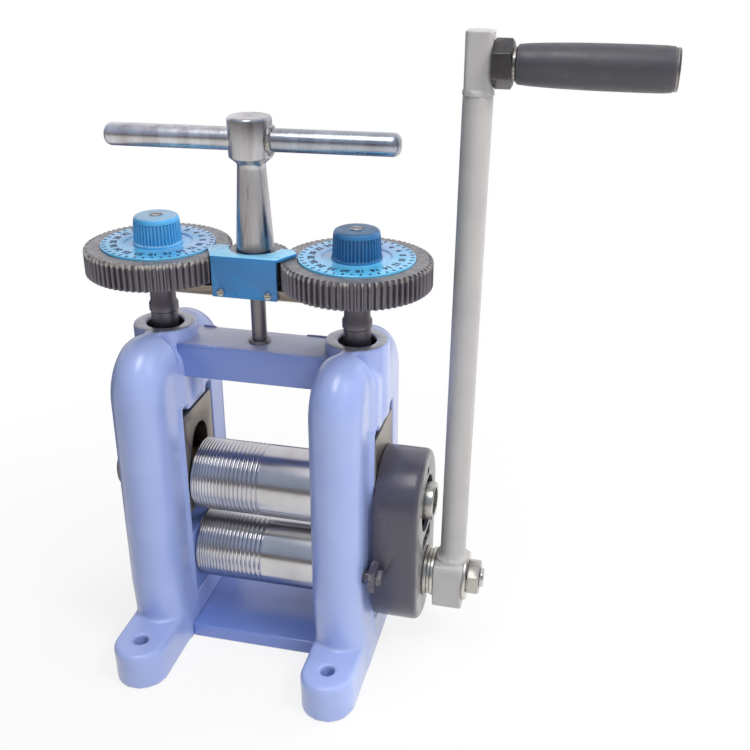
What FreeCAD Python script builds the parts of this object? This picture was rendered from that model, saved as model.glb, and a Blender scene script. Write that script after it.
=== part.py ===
import FreeCAD, Part
import Sketcher
import math
import os

# Hand cranked combination rolling mill: two side frames with domed posts, two rolls in
# sliding bearing blocks, geared screw-down with a tee handle on top, crank on the lower roll.
# Frame of reference: origin on the bench under the centre of the four foot holes,
# +X along the rolls towards the crank, +Y towards the rear, +Z up. Millimetres.

doc = FreeCAD.newDocument("rolling_mill")
X_UP = FreeCAD.Rotation(FreeCAD.Vector(0, 1, 0), 90)
Y_UP = FreeCAD.Rotation(FreeCAD.Vector(1, 0, 0), -90)

SIZES = [
    # side frames
    ("inner_face", 53.2),
    ("post_width", 41.6),
    ("post_depth", 40.0),
    ("post_over", 54.0),
    ("arch_inset", 3.0),
    ("rear_inset", 26.0),
    ("rear_rise", 3.0),
    ("window_half", 28.0),
    ("window_base", 33.0),
    ("window_room", 8.0),
    ("boss_radius", 23.6),
    ("boss_rise", 5.0),
    ("boss_under", 18.0),
    ("boss_drop", 5.0),
    ("nut_ledge", 5.0),
    ("nut_height", 37.0),
    ("nut_outer", 13.6),
    ("nut_lip", 11.5),
    # feet and base
    ("foot_reach", 91.6),
    ("foot_radius", 20.0),
    ("foot_top", 30.0),
    ("hole_inset", 1.6),
    ("foot_hole", 5.5),
    ("foot_edge", 4.0),
    ("plate_depth", 43.0),
    ("plate_top", 12.0),
    # top crossbar
    ("cross_depth", 19.0),
    ("cross_drop", 30.5),
    ("cross_height", 26.5),
    # rolls
    ("roll_radius", 28.25),
    ("roll_side", 0.4),
    ("lower_axis", 65.5),
    ("roll_opening", 7.5),
    ("journal", 15.0),
    ("groove_first", 0.9),
    ("groove_step", 0.28),
    ("groove_land", 1.2),
    ("groove_start", 46.5),
    # bearing blocks
    ("running", 0.05),
    ("slide_play", 1.0),
    ("face_play", 0.5),
    ("bush_wall", 4.0),
    ("lower_block_wall", 3.5),
    ("upper_block_wall", 3.0),
    ("upper_block_height", 82.5),
    ("pocket_radius", 15.0),
    ("pocket_rise", 29.0),
    ("pocket_depth", 9.0),
    ("pad_radius", 11.0),
    ("pad_height", 4.0),
    ("pad_sink", 3.0),
    ("spring_offset", 18.0),
    ("spring_radius", 4.2),
    ("spring_wire", 0.9),
    # roll gears, deep teeth so they stay in mesh while the rolls open and close
    ("drive_root", 22.3),
    ("drive_pitch", 28.5),
    ("drive_tip", 34.0),
    ("drive_root_width", 7.0),
    ("drive_pitch_width", 5.0),
    ("drive_tip_width", 3.0),
    ("drive_gap", 2.7),
    ("drive_width", 25.5),
    ("gear_seat", 13.0),
    ("key_sink", 3.0),
    ("key_rise", 2.0),
    ("shaft_over", 23.5),
    ("collar_gap", 12.5),
    ("collar_width", 12.0),
    ("collar_wall", 3.0),
    ("sleeve_over", 6.0),
    ("sleeve_bore", 10.6),
    ("key_width", 5.0),
    # gear cover
    ("cover_space", 5.5),
    ("cover_radius", 38.6),
    ("cover_round", 5.0),
    ("cover_wall", 3.0),
    ("cover_lift", 1.0),
    ("cover_port", 22.0),
    ("port_drop", 2.5),
    ("cover_lower_port", 17.0),
    ("cover_slot_half", 15.0),
    ("cover_slot_rise", 25.5),
    ("cover_slot_gap", 25.0),
    ("cover_sight", 3.4),
    ("cover_sight_rise", 28.0),
    ("ear_reach", 55.0),
    ("ear_rise", 21.0),
    ("ear_height", 17.0),
    ("ear_thick", 5.0),
    ("ear_bolt_y", 46.6),
    ("ear_bolt_head", 6.4),
    ("ear_bolt_shank", 4.0),
    ("ear_bolt_depth", 14.0),
    ("ear_bolt_height", 4.5),
    # crank
    ("ring_stack", 8.1),
    ("hub_width", 22.5),
    ("hub_half", 17.0),
    ("hub_below", 22.5),
    ("hub_above", 15.5),
    ("hub_round", 5.0),
    ("hub_bore", 11.0),
    ("ring_gap", 0.4),
    ("ring_radius", 19.5),
    ("arm_inset", 12.6),
    ("arm_radius", 9.7),
    ("arm_lean", 3.3),
    ("arm_length", 351.0),
    ("head_height", 38.0),
    ("grip_rise", 18.5),
    ("head_half", 8.7),
    ("head_round", 3.0),
    ("crank_washer", 2.5),
    ("crank_washer_radius", 19.0),
    ("crank_nut", 9.5),
    ("crank_nut_radius", 14.4),
    ("stud", 8.0),
    ("stud_length", 15.0),
    ("grip_nut_length", 12.4),
    ("grip_nut_radius", 15.4),
    ("grip_gap", 2.2),
    ("grip_length", 94.4),
    ("grip_radius", 14.0),
    ("axle_radius", 5.0),
    # screw-down
    ("screw_radius", 9.93),
    ("tip_gap", 0.1),
    ("neck_radius", 9.0),
    ("carrier_rise", 33.4),
    ("carrier_thick", 7.0),
    ("carrier_half", 24.5),
    ("carrier_reach", 92.0),
    ("gear_gap", 0.5),
    ("gear_height", 19.5),
    ("gear_teeth", 70),
    ("pinion_teeth", 30),
    ("gear_bore", 8.0),
    ("dial_radius", 41.0),
    ("dial_sink", 1.8),
    ("dial_rise", 1.5),
    ("knob_base", 17.3),
    ("knob_tip", 16.0),
    ("knob_height", 19.6),
    ("knob_screw", 3.0),
    ("knob_screw_head", 4.6),
    ("knob_screw_rise", 0.8),
    ("collar_flange", 0.9),
    ("collar_depth", 24.0),
    ("collar_length", 6.0),
    ("collar_neck", 9.4),
    ("shaft_radius", 5.5),
    ("shaft_grip", 15.0),
    ("shaft_bush_radius", 7.2),
    # bracket
    ("bracket_half", 23.7),
    ("sheet", 2.0),
    ("bracket_rise", 2.8),
    ("wing_reach", 33.0),
    ("bracket_arc", 18.5),
    ("bracket_screw_x", 17.3),
    ("bracket_screw_rise", 3.6),
    ("bracket_screw_head", 2.7),
    # tee handle
    ("cap_radius", 15.2),
    ("sleeve_height", 67.0),
    ("cap_height", 27.0),
    ("cap_neck", 9.85),
    ("sleeve_radius", 13.8),
    ("bar_rise", 11.3),
    ("bar_radius", 7.9),
    ("bar_half", 103.0),
    ("bar_round", 5.0),
    ("bar_turn", 3.4),
]


class Size:
    """A number from the sheet together with the expression that gives it."""

    def __init__(self, text, num):
        self.text = text
        self.num = float(num)

    @staticmethod
    def of(value):
        return value if isinstance(value, Size) else Size(repr(float(value)), value)

    def join(self, sign, other, num):
        return Size("(%s %s %s)" % (self.text, sign, other.text), num)

    def __add__(self, other):
        other = Size.of(other)
        return self.join("+", other, self.num + other.num)

    def __sub__(self, other):
        other = Size.of(other)
        return self.join("-", other, self.num - other.num)

    def __mul__(self, other):
        other = Size.of(other)
        return self.join("*", other, self.num * other.num)

    def __truediv__(self, other):
        other = Size.of(other)
        return self.join("/", other, self.num / other.num)

    def __radd__(self, other):
        return Size.of(other) + self

    def __rsub__(self, other):
        return Size.of(other) - self

    def __rmul__(self, other):
        return Size.of(other) * self

    def __neg__(self):
        return Size("(0 - %s)" % self.text, -self.num)


class Dims:
    """Every driving dimension as a Size, by its name in the sheet."""

    def __init__(self, rows):
        sheet = doc.addObject("Spreadsheet::Sheet", "dims")
        for row, (alias, value) in enumerate(rows, start=1):
            sheet.set("A%d" % row, alias)
            sheet.set("B%d" % row, str(value))
            sheet.setAlias("B%d" % row, alias)
        doc.recompute()
        for alias, _ in rows:
            setattr(self, alias, Size("dims." + alias, sheet.get(alias)))


D = Dims(SIZES)
SCREW_X = D.inner_face + D.post_width / 2
OUTER_FACE = D.inner_face + D.post_width
ZERO = Size.of(0)
PARTS = []

# places that follow from the sizes above
D.roll_end = D.inner_face - D.roll_side
D.upper_axis = D.lower_axis + D.roll_radius * 2 + D.roll_opening
D.lower_block_top = D.lower_axis + D.journal + D.bush_wall + D.lower_block_wall
D.upper_block_base = D.upper_axis - D.journal - D.bush_wall - D.upper_block_wall
D.upper_block_top = D.upper_block_base + D.upper_block_height
D.pocket_centre = D.upper_axis + D.pocket_rise
D.window_top = D.upper_block_top + D.window_room
D.screw_tip = D.upper_block_top - D.pad_sink + D.pad_height + D.tip_gap
D.post_top = D.window_top + D.post_over
D.rear_top = D.post_top + D.rear_rise
D.boss_top = D.post_top + D.boss_rise
D.nut_seat = D.window_top + D.nut_ledge
D.nut_top = D.nut_seat + D.nut_height
D.cross_base = D.post_top - D.cross_drop
D.cross_top = D.cross_base + D.cross_height
D.hole_reach = D.foot_reach - D.hole_inset
D.drive_start = OUTER_FACE + D.drive_gap
D.drive_end = D.drive_start + D.drive_width
D.cover_end = D.drive_end + D.cover_space
D.cover_upper = D.upper_axis + D.cover_lift
D.cover_port_z = D.upper_axis - D.port_drop
D.ear_z = D.lower_axis + D.ear_rise
D.ring_start = D.cover_end + D.ring_gap
D.hub_start = D.ring_start + D.ring_stack
D.hub_end = D.hub_start + D.hub_width
D.hub_base = D.lower_axis - D.hub_below
D.hub_top = D.lower_axis + D.hub_above
D.arm_x = D.hub_start + D.arm_inset
D.head_x = D.arm_x + D.arm_lean
D.head_base = D.hub_top + D.arm_length
D.head_top = D.head_base + D.head_height
D.grip_z = D.head_base + D.grip_rise
D.stud_end = D.hub_end + D.stud_length
D.grip_nut_end = D.head_x + D.head_half + D.grip_nut_length
D.grip_start = D.grip_nut_end + D.grip_gap
D.grip_end = D.grip_start + D.grip_length
D.carrier_base = D.boss_top + D.carrier_rise
D.carrier_top = D.carrier_base + D.carrier_thick
D.gear_base = D.carrier_top + D.gear_gap
D.gear_top = D.gear_base + D.gear_height
D.dial_top = D.gear_top + D.dial_rise
D.knob_top = D.dial_top + D.knob_height
D.shaft_base = D.cross_top - D.shaft_grip
D.bracket_top = D.gear_top + D.bracket_rise
D.bracket_screw_z = D.carrier_base + D.bracket_screw_rise
D.cap_base = D.gear_top + D.sleeve_height
D.cap_top = D.cap_base + D.cap_height
D.bar_z = D.cap_base + D.bar_rise


def bind(obj, prop, value):
    value = Size.of(value)
    obj.setExpression(prop, value.text)


def place(obj, x, y, z, rotation=None):
    if rotation is not None:
        obj.Placement = FreeCAD.Placement(FreeCAD.Vector(0, 0, 0), rotation)
    bind(obj, "Placement.Base.x", x)
    bind(obj, "Placement.Base.y", y)
    bind(obj, "Placement.Base.z", z)


def box(x0, x1, y0, y1, z0, z1):
    obj = doc.addObject("Part::Box", "block")
    bind(obj, "Length", Size.of(x1) - x0)
    bind(obj, "Width", Size.of(y1) - y0)
    bind(obj, "Height", Size.of(z1) - z0)
    place(obj, x0, y0, z0)
    return obj


def rod_x(radius, x0, x1, y, z):
    obj = doc.addObject("Part::Cylinder", "rod")
    bind(obj, "Radius", radius)
    bind(obj, "Height", Size.of(x1) - x0)
    place(obj, x0, y, z, X_UP)
    return obj


def rod_y(radius, y0, y1, x, z):
    obj = doc.addObject("Part::Cylinder", "rod")
    bind(obj, "Radius", radius)
    bind(obj, "Height", Size.of(y1) - y0)
    place(obj, x, y0, z, Y_UP)
    return obj


def rod_z(radius, z0, z1, x, y):
    obj = doc.addObject("Part::Cylinder", "rod")
    bind(obj, "Radius", radius)
    bind(obj, "Height", Size.of(z1) - z0)
    place(obj, x, y, z0)
    return obj


def hexagon_x(radius, x0, x1, y, z):
    obj = doc.addObject("Part::Prism", "hexagon")
    obj.Polygon = 6
    bind(obj, "Circumradius", radius)
    bind(obj, "Height", Size.of(x1) - x0)
    place(obj, x0, y, z, X_UP)
    return obj


def fuse(shapes):
    obj = doc.addObject("Part::MultiFuse", "joined")
    obj.Shapes = shapes
    obj.Refine = True
    return obj


def cut(base, tools):
    obj = doc.addObject("Part::Cut", "cut")
    obj.Base = base
    obj.Tool = tools[0] if len(tools) == 1 else fuse(tools)
    return obj


def common(first, second):
    obj = doc.addObject("Part::Common", "shared")
    obj.Base = first
    obj.Tool = second
    return obj


def group(shapes):
    obj = doc.addObject("Part::Compound", "group")
    obj.Links = shapes
    return obj


def fillet(base, radius, chosen):
    """Round the edges of base whose bounding box passes the test."""
    doc.recompute()
    obj = doc.addObject("Part::Fillet", "rounded")
    obj.Base = base
    picked = []
    for number, edge in enumerate(base.Shape.Edges, start=1):
        if chosen(edge.BoundBox):
            picked.append((number, radius.num, radius.num))
    obj.Edges = picked
    return obj


def part(name, obj):
    obj.Label = name
    PARTS.append((name, obj))
    return obj


def new_body(name, x=ZERO, y=ZERO, z=ZERO):
    body = doc.addObject("PartDesign::Body", name + "_body")
    place(body, x, y, z)
    return body


def outline(body, role, points):
    """Closed fully constrained outline through points on one of the body's own planes."""
    sketch = body.newObject("Sketcher::SketchObject", "outline")
    plane = [item for item in body.Origin.OriginFeatures if item.Role == role][0]
    sketch.AttachmentSupport = [(plane, "")]
    sketch.MapMode = "FlatFace"
    points = [(Size.of(u), Size.of(v)) for u, v in points]
    count = len(points)
    for i in range(count):
        u0, v0 = points[i]
        u1, v1 = points[(i + 1) % count]
        start = FreeCAD.Vector(u0.num, v0.num, 0)
        end = FreeCAD.Vector(u1.num, v1.num, 0)
        sketch.addGeometry(Part.LineSegment(start, end), False)
    rules = []
    sizes = []
    for i in range(count):
        rules.append(Sketcher.Constraint("Coincident", i, 2, (i + 1) % count, 1))
    for i in range(count):
        u, v = points[i]
        for kind, value, axis in (("DistanceX", u, -2), ("DistanceY", v, -1)):
            if value is ZERO:
                rules.append(Sketcher.Constraint("PointOnObject", i, 1, axis))
            else:
                sizes.append((len(rules), value))
                rules.append(Sketcher.Constraint(kind, -1, 1, i, 1, value.num))
    sketch.addConstraint(rules)
    for index, value in sizes:
        sketch.setExpression("Constraints[%d]" % index, value.text)
    return sketch


def turned(name, points, upright, x=ZERO, y=ZERO, z=ZERO):
    """Solid of revolution: points are (radius, along) about Z if upright, otherwise about X."""
    body = new_body(name, x, y, z)
    if upright:
        sketch = outline(body, "XZ_Plane", points)
    else:
        sketch = outline(body, "XZ_Plane", [(along, radius) for radius, along in points])
    turn = body.newObject("PartDesign::Revolution", "turn")
    turn.Profile = sketch
    turn.ReferenceAxis = (sketch, ["V_Axis" if upright else "H_Axis"])
    turn.Angle = 360
    body.Tip = turn
    return body


def slab(name, points, z0, z1):
    """Flat plate: outline in plan, from z0 to z1."""
    body = new_body(name, ZERO, ZERO, z0)
    sketch = outline(body, "XY_Plane", points)
    pad = body.newObject("PartDesign::Pad", "pad")
    pad.Profile = sketch
    bind(pad, "Length", Size.of(z1) - z0)
    body.Tip = pad
    return body


def toothed(teeth, radii, widths, thickness, turn):
    """Gear blank as a plain solid: straight sided teeth given by width at each radius."""
    points = []
    for tooth in range(teeth):
        middle = 2 * math.pi * tooth / teeth + turn
        flanks = [(r, -w) for r, w in zip(radii, widths)]
        flanks += [(r, w) for r, w in zip(reversed(radii), reversed(widths))]
        for radius, width in flanks:
            angle = middle + width / 2 / radius
            points.append(FreeCAD.Vector(radius * math.cos(angle), radius * math.sin(angle), 0))
    wire = Part.makePolygon(points + [points[0]])
    return Part.Face(wire).extrude(FreeCAD.Vector(0, 0, thickness))


def solid_feature(shape, placement):
    obj = doc.addObject("Part::Feature", "solid")
    obj.Shape = shape
    obj.Placement = placement
    return obj


def centred_rect(half_x, half_y):
    return [(-half_x, -half_y), (half_x, -half_y), (half_x, half_y), (-half_x, half_y)]


# ---------------------------------------------------------------- frame castings

def base_plate():
    return slab("base_plate", centred_rect(D.inner_face, D.plate_depth), ZERO, D.plate_top)


def post(x, sign):
    """Round nosed post that bends over at its top; sign -1 is the front one, +1 the rear."""
    half = D.post_width / 2
    nose = D.window_half + D.post_depth - half
    inset, top = (D.arch_inset, D.post_top) if sign < 0 else (D.rear_inset, D.rear_top)
    sweep = nose - inset
    level = top - half - sweep
    centre = inset * sign
    axis = nose * sign
    flat = (D.window_half - 6.0) * sign
    reach = (nose + half + 5.0) * sign
    low, high = (axis, flat) if sign < 0 else (flat, axis)
    near, far = (reach, ZERO) if sign < 0 else (centre, reach)
    side = half + 1.0
    quarter = box(x - side, x + side, near, far, level, top + 1.0)
    pieces = [
        box(x - half, x + half, low, high, ZERO, level),
        rod_z(half, ZERO, level, x, axis),
        rod_x(sweep, x - half, x + half, centre, level),
        common(hoop_x(sweep, half, x, centre, level), quarter),
    ]
    if sign > 0:
        ridge = top - half
        pieces.append(rod_y(half, ZERO, centre, x, ridge))
        pieces.append(box(x - half, x + half, ZERO, centre, D.window_top, ridge))
    return fuse(pieces)


def hoop_x(radius, thick, x, y, z):
    """Round ring about an axis along X."""
    ring = doc.addObject("Part::Torus", "hoop")
    bind(ring, "Radius1", radius)
    bind(ring, "Radius2", thick)
    place(ring, x, y, z, X_UP)
    return ring


def foot(x, sign):
    """Forward or rearward lug with a rounded nose."""
    start = (D.window_half + 10.0) * sign
    end = D.foot_reach * sign
    low, high = (end, start) if sign < 0 else (start, end)
    arm = box(x - D.foot_radius, x + D.foot_radius, low, high, ZERO, D.foot_top)
    shape = fuse([arm, rod_z(D.foot_radius, ZERO, D.foot_top, x, end)])
    top = D.foot_top.num

    def on_top(bounds):
        level = bounds.ZMin > top - 0.01
        root = bounds.YLength < 0.01
        return level and not root

    return fillet(shape, D.foot_edge, on_top)


def side_frame(x):
    half = D.post_width / 2
    pieces = [post(x, -1), post(x, 1), foot(x, -1), foot(x, 1)]
    overlap = D.window_half + 6.0
    pieces.append(box(x - half, x + half, -overlap, overlap, ZERO, D.window_base))
    pieces.append(rod_z(D.boss_radius, D.window_top, D.boss_top, x, ZERO))
    reach = D.window_half
    window = box(x - half - 1.0, x + half + 1.0, -reach, reach, D.window_base, D.window_top)
    under = D.boss_under
    low = D.window_top - D.boss_drop
    underside = box(x - half - 2.0, x + half + 2.0, -under, under, low, D.window_top + 1.0)
    holes = [
        cut(window, [underside]),
        rod_z(D.nut_outer, D.nut_seat, D.boss_top + 5.0, x, ZERO),
        rod_z(D.nut_lip, D.window_top - D.boss_drop - 1.0, D.nut_seat + 1.0, x, ZERO),
        rod_z(D.foot_hole, Size.of(-5), D.foot_top + 5.0, x, -D.hole_reach),
        rod_z(D.foot_hole, Size.of(-5), D.foot_top + 5.0, x, D.hole_reach),
    ]
    return cut(fuse(pieces), holes)


def top_crossbar():
    reach = SCREW_X - D.boss_radius / 2
    bar = box(-reach, reach, -D.cross_depth, D.cross_depth, D.cross_base, D.cross_top)
    low = D.cross_base - 5.0
    high = D.cross_top + 5.0
    holes = [rod_z(D.shaft_bush_radius, low, high, ZERO, ZERO)]
    # the bar's ends follow the rounded posts and bosses that it is welded to
    for x in (-SCREW_X, SCREW_X):
        holes += [rod_z(D.boss_radius, low, high, x, ZERO), post(x, -1), post(x, 1)]
    return cut(bar, holes)


def shaft_bush():
    bore = D.shaft_radius + D.running
    flange = D.shaft_bush_radius + 1.2
    top = D.cross_top + 2.2
    points = [
        (bore, D.cross_base),
        (D.shaft_bush_radius, D.cross_base),
        (D.shaft_bush_radius, D.cross_top),
        (flange, D.cross_top),
        (D.shaft_radius + 1.0, top),
        (bore, top),
    ]
    return turned("shaft_bush", points, True)


def screw_nut(name, x):
    bore = D.screw_radius + D.running
    points = [
        (bore, D.nut_seat),
        (D.nut_outer, D.nut_seat),
        (D.nut_outer, D.nut_top),
        (bore + 1.0, D.nut_top),
        (bore, D.nut_top - 1.0),
    ]
    return turned(name, points, True, x)


# ---------------------------------------------------------------- bearings

def bearing_block(side, axis, z0, z1, upper):
    bush = D.journal + D.bush_wall
    inner = (D.inner_face + D.face_play) * side
    outer = (OUTER_FACE - D.face_play) * side
    low, high = (outer, inner) if side < 0 else (inner, outer)
    half = D.window_half - D.slide_play
    shape = box(low, high, -half, half, z0, z1)
    holes = [rod_x(bush, low - 5.0, high + 5.0, ZERO, axis)]
    if upper:
        depth = D.pocket_depth * side
        floor = inner + depth
        mouth = inner - side
        near, far = (floor, mouth) if side < 0 else (mouth, floor)
        holes.append(rod_x(D.pocket_radius, near, far, ZERO, D.pocket_centre))
        holes.append(box(near, far, -D.pocket_radius, D.pocket_radius, axis, D.pocket_centre))
        holes.append(rod_z(D.pad_radius, z1 - D.pad_sink, z1 + 5.0, SCREW_X * side, ZERO))
    return cut(shape, holes)


def bush(name, side, axis):
    inner = (D.inner_face + D.face_play) * side
    outer = (OUTER_FACE - D.face_play) * side
    low, high = (outer, inner) if side < 0 else (inner, outer)
    bore = D.journal + D.running
    points = [
        (bore, low),
        (D.journal + D.bush_wall, low),
        (D.journal + D.bush_wall, high),
        (bore, high),
    ]
    return turned(name, points, False, ZERO, ZERO, axis)


def thrust_pads():
    low = D.upper_block_top - D.pad_sink
    pads = []
    for side in (-1, 1):
        pads.append(rod_z(D.pad_radius, low, low + D.pad_height, SCREW_X * side, ZERO))
    return group(pads)


def return_springs():
    wire = D.spring_wire.num
    low = D.lower_block_top.num + wire
    height = D.upper_block_base.num - D.lower_block_top.num - 2 * wire
    helix = Part.makeHelix(height / 6, height, D.spring_radius.num)
    start = FreeCAD.Vector(D.spring_radius.num, 0, 0)
    ring = Part.Wire([Part.makeCircle(wire, start, FreeCAD.Vector(0, 1, 0.1))])
    coil = Part.Wire(helix.Edges).makePipeShell([ring], True, True)
    shapes = []
    for x in (-SCREW_X.num, SCREW_X.num):
        for y in (-D.spring_offset.num, D.spring_offset.num):
            copy = coil.copy()
            copy.translate(FreeCAD.Vector(x, y, 0))
            shapes.append(copy)
    place_at = FreeCAD.Placement(FreeCAD.Vector(0, 0, low), FreeCAD.Rotation())
    return solid_feature(Part.makeCompound(shapes), place_at)


# ---------------------------------------------------------------- rolls

def groove_points(radius):
    """Wire grooves cut into the left part of a roll, each one wider than the last."""
    points = []
    along = -D.groove_start
    width = D.groove_first
    for _ in range(9):
        along = along + D.groove_land
        points.append((radius, along))
        points.append((radius - width, along + width))
        along = along + width * 2
        points.append((radius, along))
        width = width + D.groove_step
    return points


def roll(name, axis, left_end, right_profile):
    points = [(ZERO, left_end)]
    points.append((D.journal - 1.0, left_end))
    points.append((D.journal, left_end + 1.0))
    points.append((D.journal, -D.roll_end))
    points.append((D.roll_radius - 0.6, -D.roll_end))
    points.append((D.roll_radius, 0.6 - D.roll_end))
    points += groove_points(D.roll_radius)
    points.append((D.roll_radius, D.roll_end - 0.6))
    points.append((D.roll_radius - 0.6, D.roll_end))
    points.append((D.journal, D.roll_end))
    points += right_profile
    points.append((ZERO, right_profile[-1][1]))
    return turned(name, points, False, ZERO, ZERO, axis)


def lower_roll():
    seat = D.gear_seat
    profile = [
        (D.journal, D.drive_start),
        (seat, D.drive_start),
        (seat, D.ring_start),
        (D.hub_bore, D.ring_start),
        (D.hub_bore, D.hub_end - 1.0),
        (D.stud, D.hub_end - 1.0),
        (D.stud, D.stud_end - 1.2),
        (D.stud - 1.2, D.stud_end),
    ]
    shape = roll("lower_roll", D.lower_axis, -OUTER_FACE - 0.5, profile)
    return cut(shape, [drive_keyway(D.lower_axis), hub_keyway()])


def upper_roll():
    seat = D.gear_seat
    end = D.cover_end + 1.5
    profile = [
        (D.journal, D.drive_start),
        (seat, D.drive_start),
        (seat, D.drive_end),
        (D.stud, D.drive_end),
        (D.stud, end - 1.0),
        (D.stud - 1.0, end),
    ]
    shape = roll("upper_roll", D.upper_axis, -OUTER_FACE - D.shaft_over, profile)
    return cut(shape, [drive_keyway(D.upper_axis)])


def drive_keyway(axis):
    half = D.key_width / 2
    base = axis + D.gear_seat - D.key_sink
    return box(D.drive_start, D.drive_end, -half, half, base, base + 8.0)


def hub_keyway():
    half = D.key_width / 2
    base = D.lower_axis + D.hub_bore - 2.5
    return box(D.hub_start, D.hub_end - 3.0, -half, half, base, base + 8.0)


def drive_gear(name, axis, phase):
    radii = [D.drive_root.num, D.drive_pitch.num, D.drive_tip.num]
    widths = [D.drive_root_width.num, D.drive_pitch_width.num, D.drive_tip_width.num]
    length = D.drive_end.num - D.drive_start.num
    shape = toothed(12, radii, widths, length, phase)
    at = FreeCAD.Placement(FreeCAD.Vector(D.drive_start.num, 0, axis.num), X_UP)
    blank = solid_feature(shape, at)
    bore = rod_x(D.gear_seat, D.drive_start - 5.0, D.drive_end + 5.0, ZERO, axis)
    half = D.key_width / 2
    top = axis + D.gear_seat + D.key_rise
    slot = box(D.drive_start - 5.0, D.drive_end + 5.0, -half, half, axis, top)
    return cut(blank, [bore, slot])


def drive_key(axis):
    half = D.key_width / 2
    base = axis + D.gear_seat - D.key_sink
    return box(D.drive_start, D.drive_end, -half, half, base, axis + D.gear_seat + D.key_rise)


def upper_shaft_nut():
    """Hexagon at the gear that runs out into a hollow round sleeve."""
    end = D.cover_end + D.sleeve_over
    flats = hexagon_x(D.crank_nut_radius, D.drive_end, D.cover_end - 2.0, ZERO, D.upper_axis)
    sleeve = rod_x(D.crank_nut_radius, D.cover_end - 2.0, end, ZERO, D.upper_axis)
    holes = [
        rod_x(D.stud, D.drive_end - 5.0, end + 5.0, ZERO, D.upper_axis),
        rod_x(D.sleeve_bore, D.cover_end + 1.0, end + 5.0, ZERO, D.upper_axis),
    ]
    return cut(fuse([flats, sleeve]), holes)


def upper_end_collar():
    near = -OUTER_FACE - D.collar_gap
    far = near - D.collar_width
    rim = D.journal + D.collar_wall
    points = [
        (D.journal, near),
        (rim - 1.0, near),
        (rim, near - 1.0),
        (rim, far + 1.0),
        (rim - 1.0, far),
        (D.journal, far),
    ]
    return turned("upper_end_collar", points, False, ZERO, ZERO, D.upper_axis)


# ---------------------------------------------------------------- gear cover

def stadium(radius, x0, x1):
    return fuse([
        rod_x(radius, x0, x1, ZERO, D.lower_axis),
        rod_x(radius, x0, x1, ZERO, D.cover_upper),
        box(x0, x1, -radius, radius, D.lower_axis, D.cover_upper),
    ])


def on_rim(bounds):
    return bounds.XLength < 0.01 and bounds.XMin > (D.cover_end.num - 0.1)


def gear_cover():
    outside = fillet(stadium(D.cover_radius, OUTER_FACE, D.cover_end), D.cover_round, on_rim)
    half = D.ear_height / 2
    thick = OUTER_FACE + D.ear_thick
    reach = D.ear_reach
    ears = box(OUTER_FACE, thick, -reach, reach, D.ear_z - half, D.ear_z + half)
    inside = stadium(D.cover_radius - D.cover_wall, OUTER_FACE - 5.0, D.cover_end - D.cover_wall)
    low = D.cover_end - D.cover_wall - 2.0
    high = D.cover_end + 5.0
    slot = D.cover_slot_half
    slot_top = D.cover_port_z - D.cover_slot_gap
    holes = [
        inside,
        rod_x(D.cover_port, low, high, ZERO, D.cover_port_z),
        rod_x(D.cover_lower_port, low, high, ZERO, D.lower_axis),
        box(low, high, -slot, slot, D.lower_axis + D.cover_slot_rise, slot_top),
        rod_x(D.cover_sight, low, high, ZERO, D.cover_port_z + D.cover_sight_rise),
    ]
    for side in (-1, 1):
        shank = D.ear_bolt_shank
        holes.append(rod_x(shank, OUTER_FACE - 5.0, thick + 5.0, D.ear_bolt_y * side, D.ear_z))
    return cut(fuse([outside, ears]), holes)


def cover_bolts():
    bolts = []
    thick = OUTER_FACE + D.ear_thick
    for side in (-1, 1):
        y = D.ear_bolt_y * side
        head = hexagon_x(D.ear_bolt_head, thick, thick + D.ear_bolt_height, y, D.ear_z)
        shank = rod_x(D.ear_bolt_shank, OUTER_FACE - D.ear_bolt_depth, thick + 1.0, y, D.ear_z)
        bolts.append(fuse([head, shank]))
    return group(bolts)


def cover_bolt_holes():
    holes = []
    for side in (-1, 1):
        y = D.ear_bolt_y * side
        low = OUTER_FACE - D.ear_bolt_depth
        holes.append(rod_x(D.ear_bolt_shank, low, OUTER_FACE + 5.0, y, D.ear_z))
    return holes


# ---------------------------------------------------------------- crank

def crank_spacers():
    step = (D.hub_start - D.ring_start) / 3
    rings = []
    for index, inset in enumerate((0.0, 1.8, 0.6)):
        low = D.ring_start + step * index
        ring = rod_x(D.ring_radius - inset, low, low + step, ZERO, D.lower_axis)
        bore = rod_x(D.hub_bore, low - 5.0, low + step + 5.0, ZERO, D.lower_axis)
        rings.append(cut(ring, [bore]))
    return group(rings)


def crank_hub():
    half = D.hub_half
    shape = box(D.hub_start, D.hub_end, -half, half, D.hub_base, D.hub_top)
    rounded = fillet(shape, D.hub_round, lambda b: b.YLength < 0.01 and b.ZLength < 0.01)
    low = D.hub_start - 5.0
    high = D.hub_end + 5.0
    key = D.key_width / 2
    top = D.lower_axis + D.hub_bore + 2.0
    holes = [
        rod_x(D.hub_bore, low, high, ZERO, D.lower_axis),
        box(low, high, -key, key, D.lower_axis, top),
    ]
    return cut(rounded, holes)


def hub_key():
    half = D.key_width / 2
    base = D.lower_axis + D.hub_bore - 2.5
    top = D.lower_axis + D.hub_bore + 2.0
    return box(D.hub_start, D.hub_end - 3.0, -half, half, base, top)


def crank_arm():
    """Round bar between hub and head, leaning slightly outwards."""
    rise = D.head_base.num - D.hub_top.num
    lean = math.degrees(math.atan((D.head_x.num - D.arm_x.num) / rise))
    bar = doc.addObject("Part::Cylinder", "arm")
    bind(bar, "Radius", D.arm_radius)
    bind(bar, "Height", D.head_base - D.hub_top + 4.0)
    place(bar, D.arm_x, ZERO, D.hub_top - 2.0, FreeCAD.Rotation(FreeCAD.Vector(0, 1, 0), lean))
    span = box(D.arm_x - 30.0, D.arm_x + 30.0, -30.0, 30.0, D.hub_top, D.head_base)
    return common(bar, span)


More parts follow.
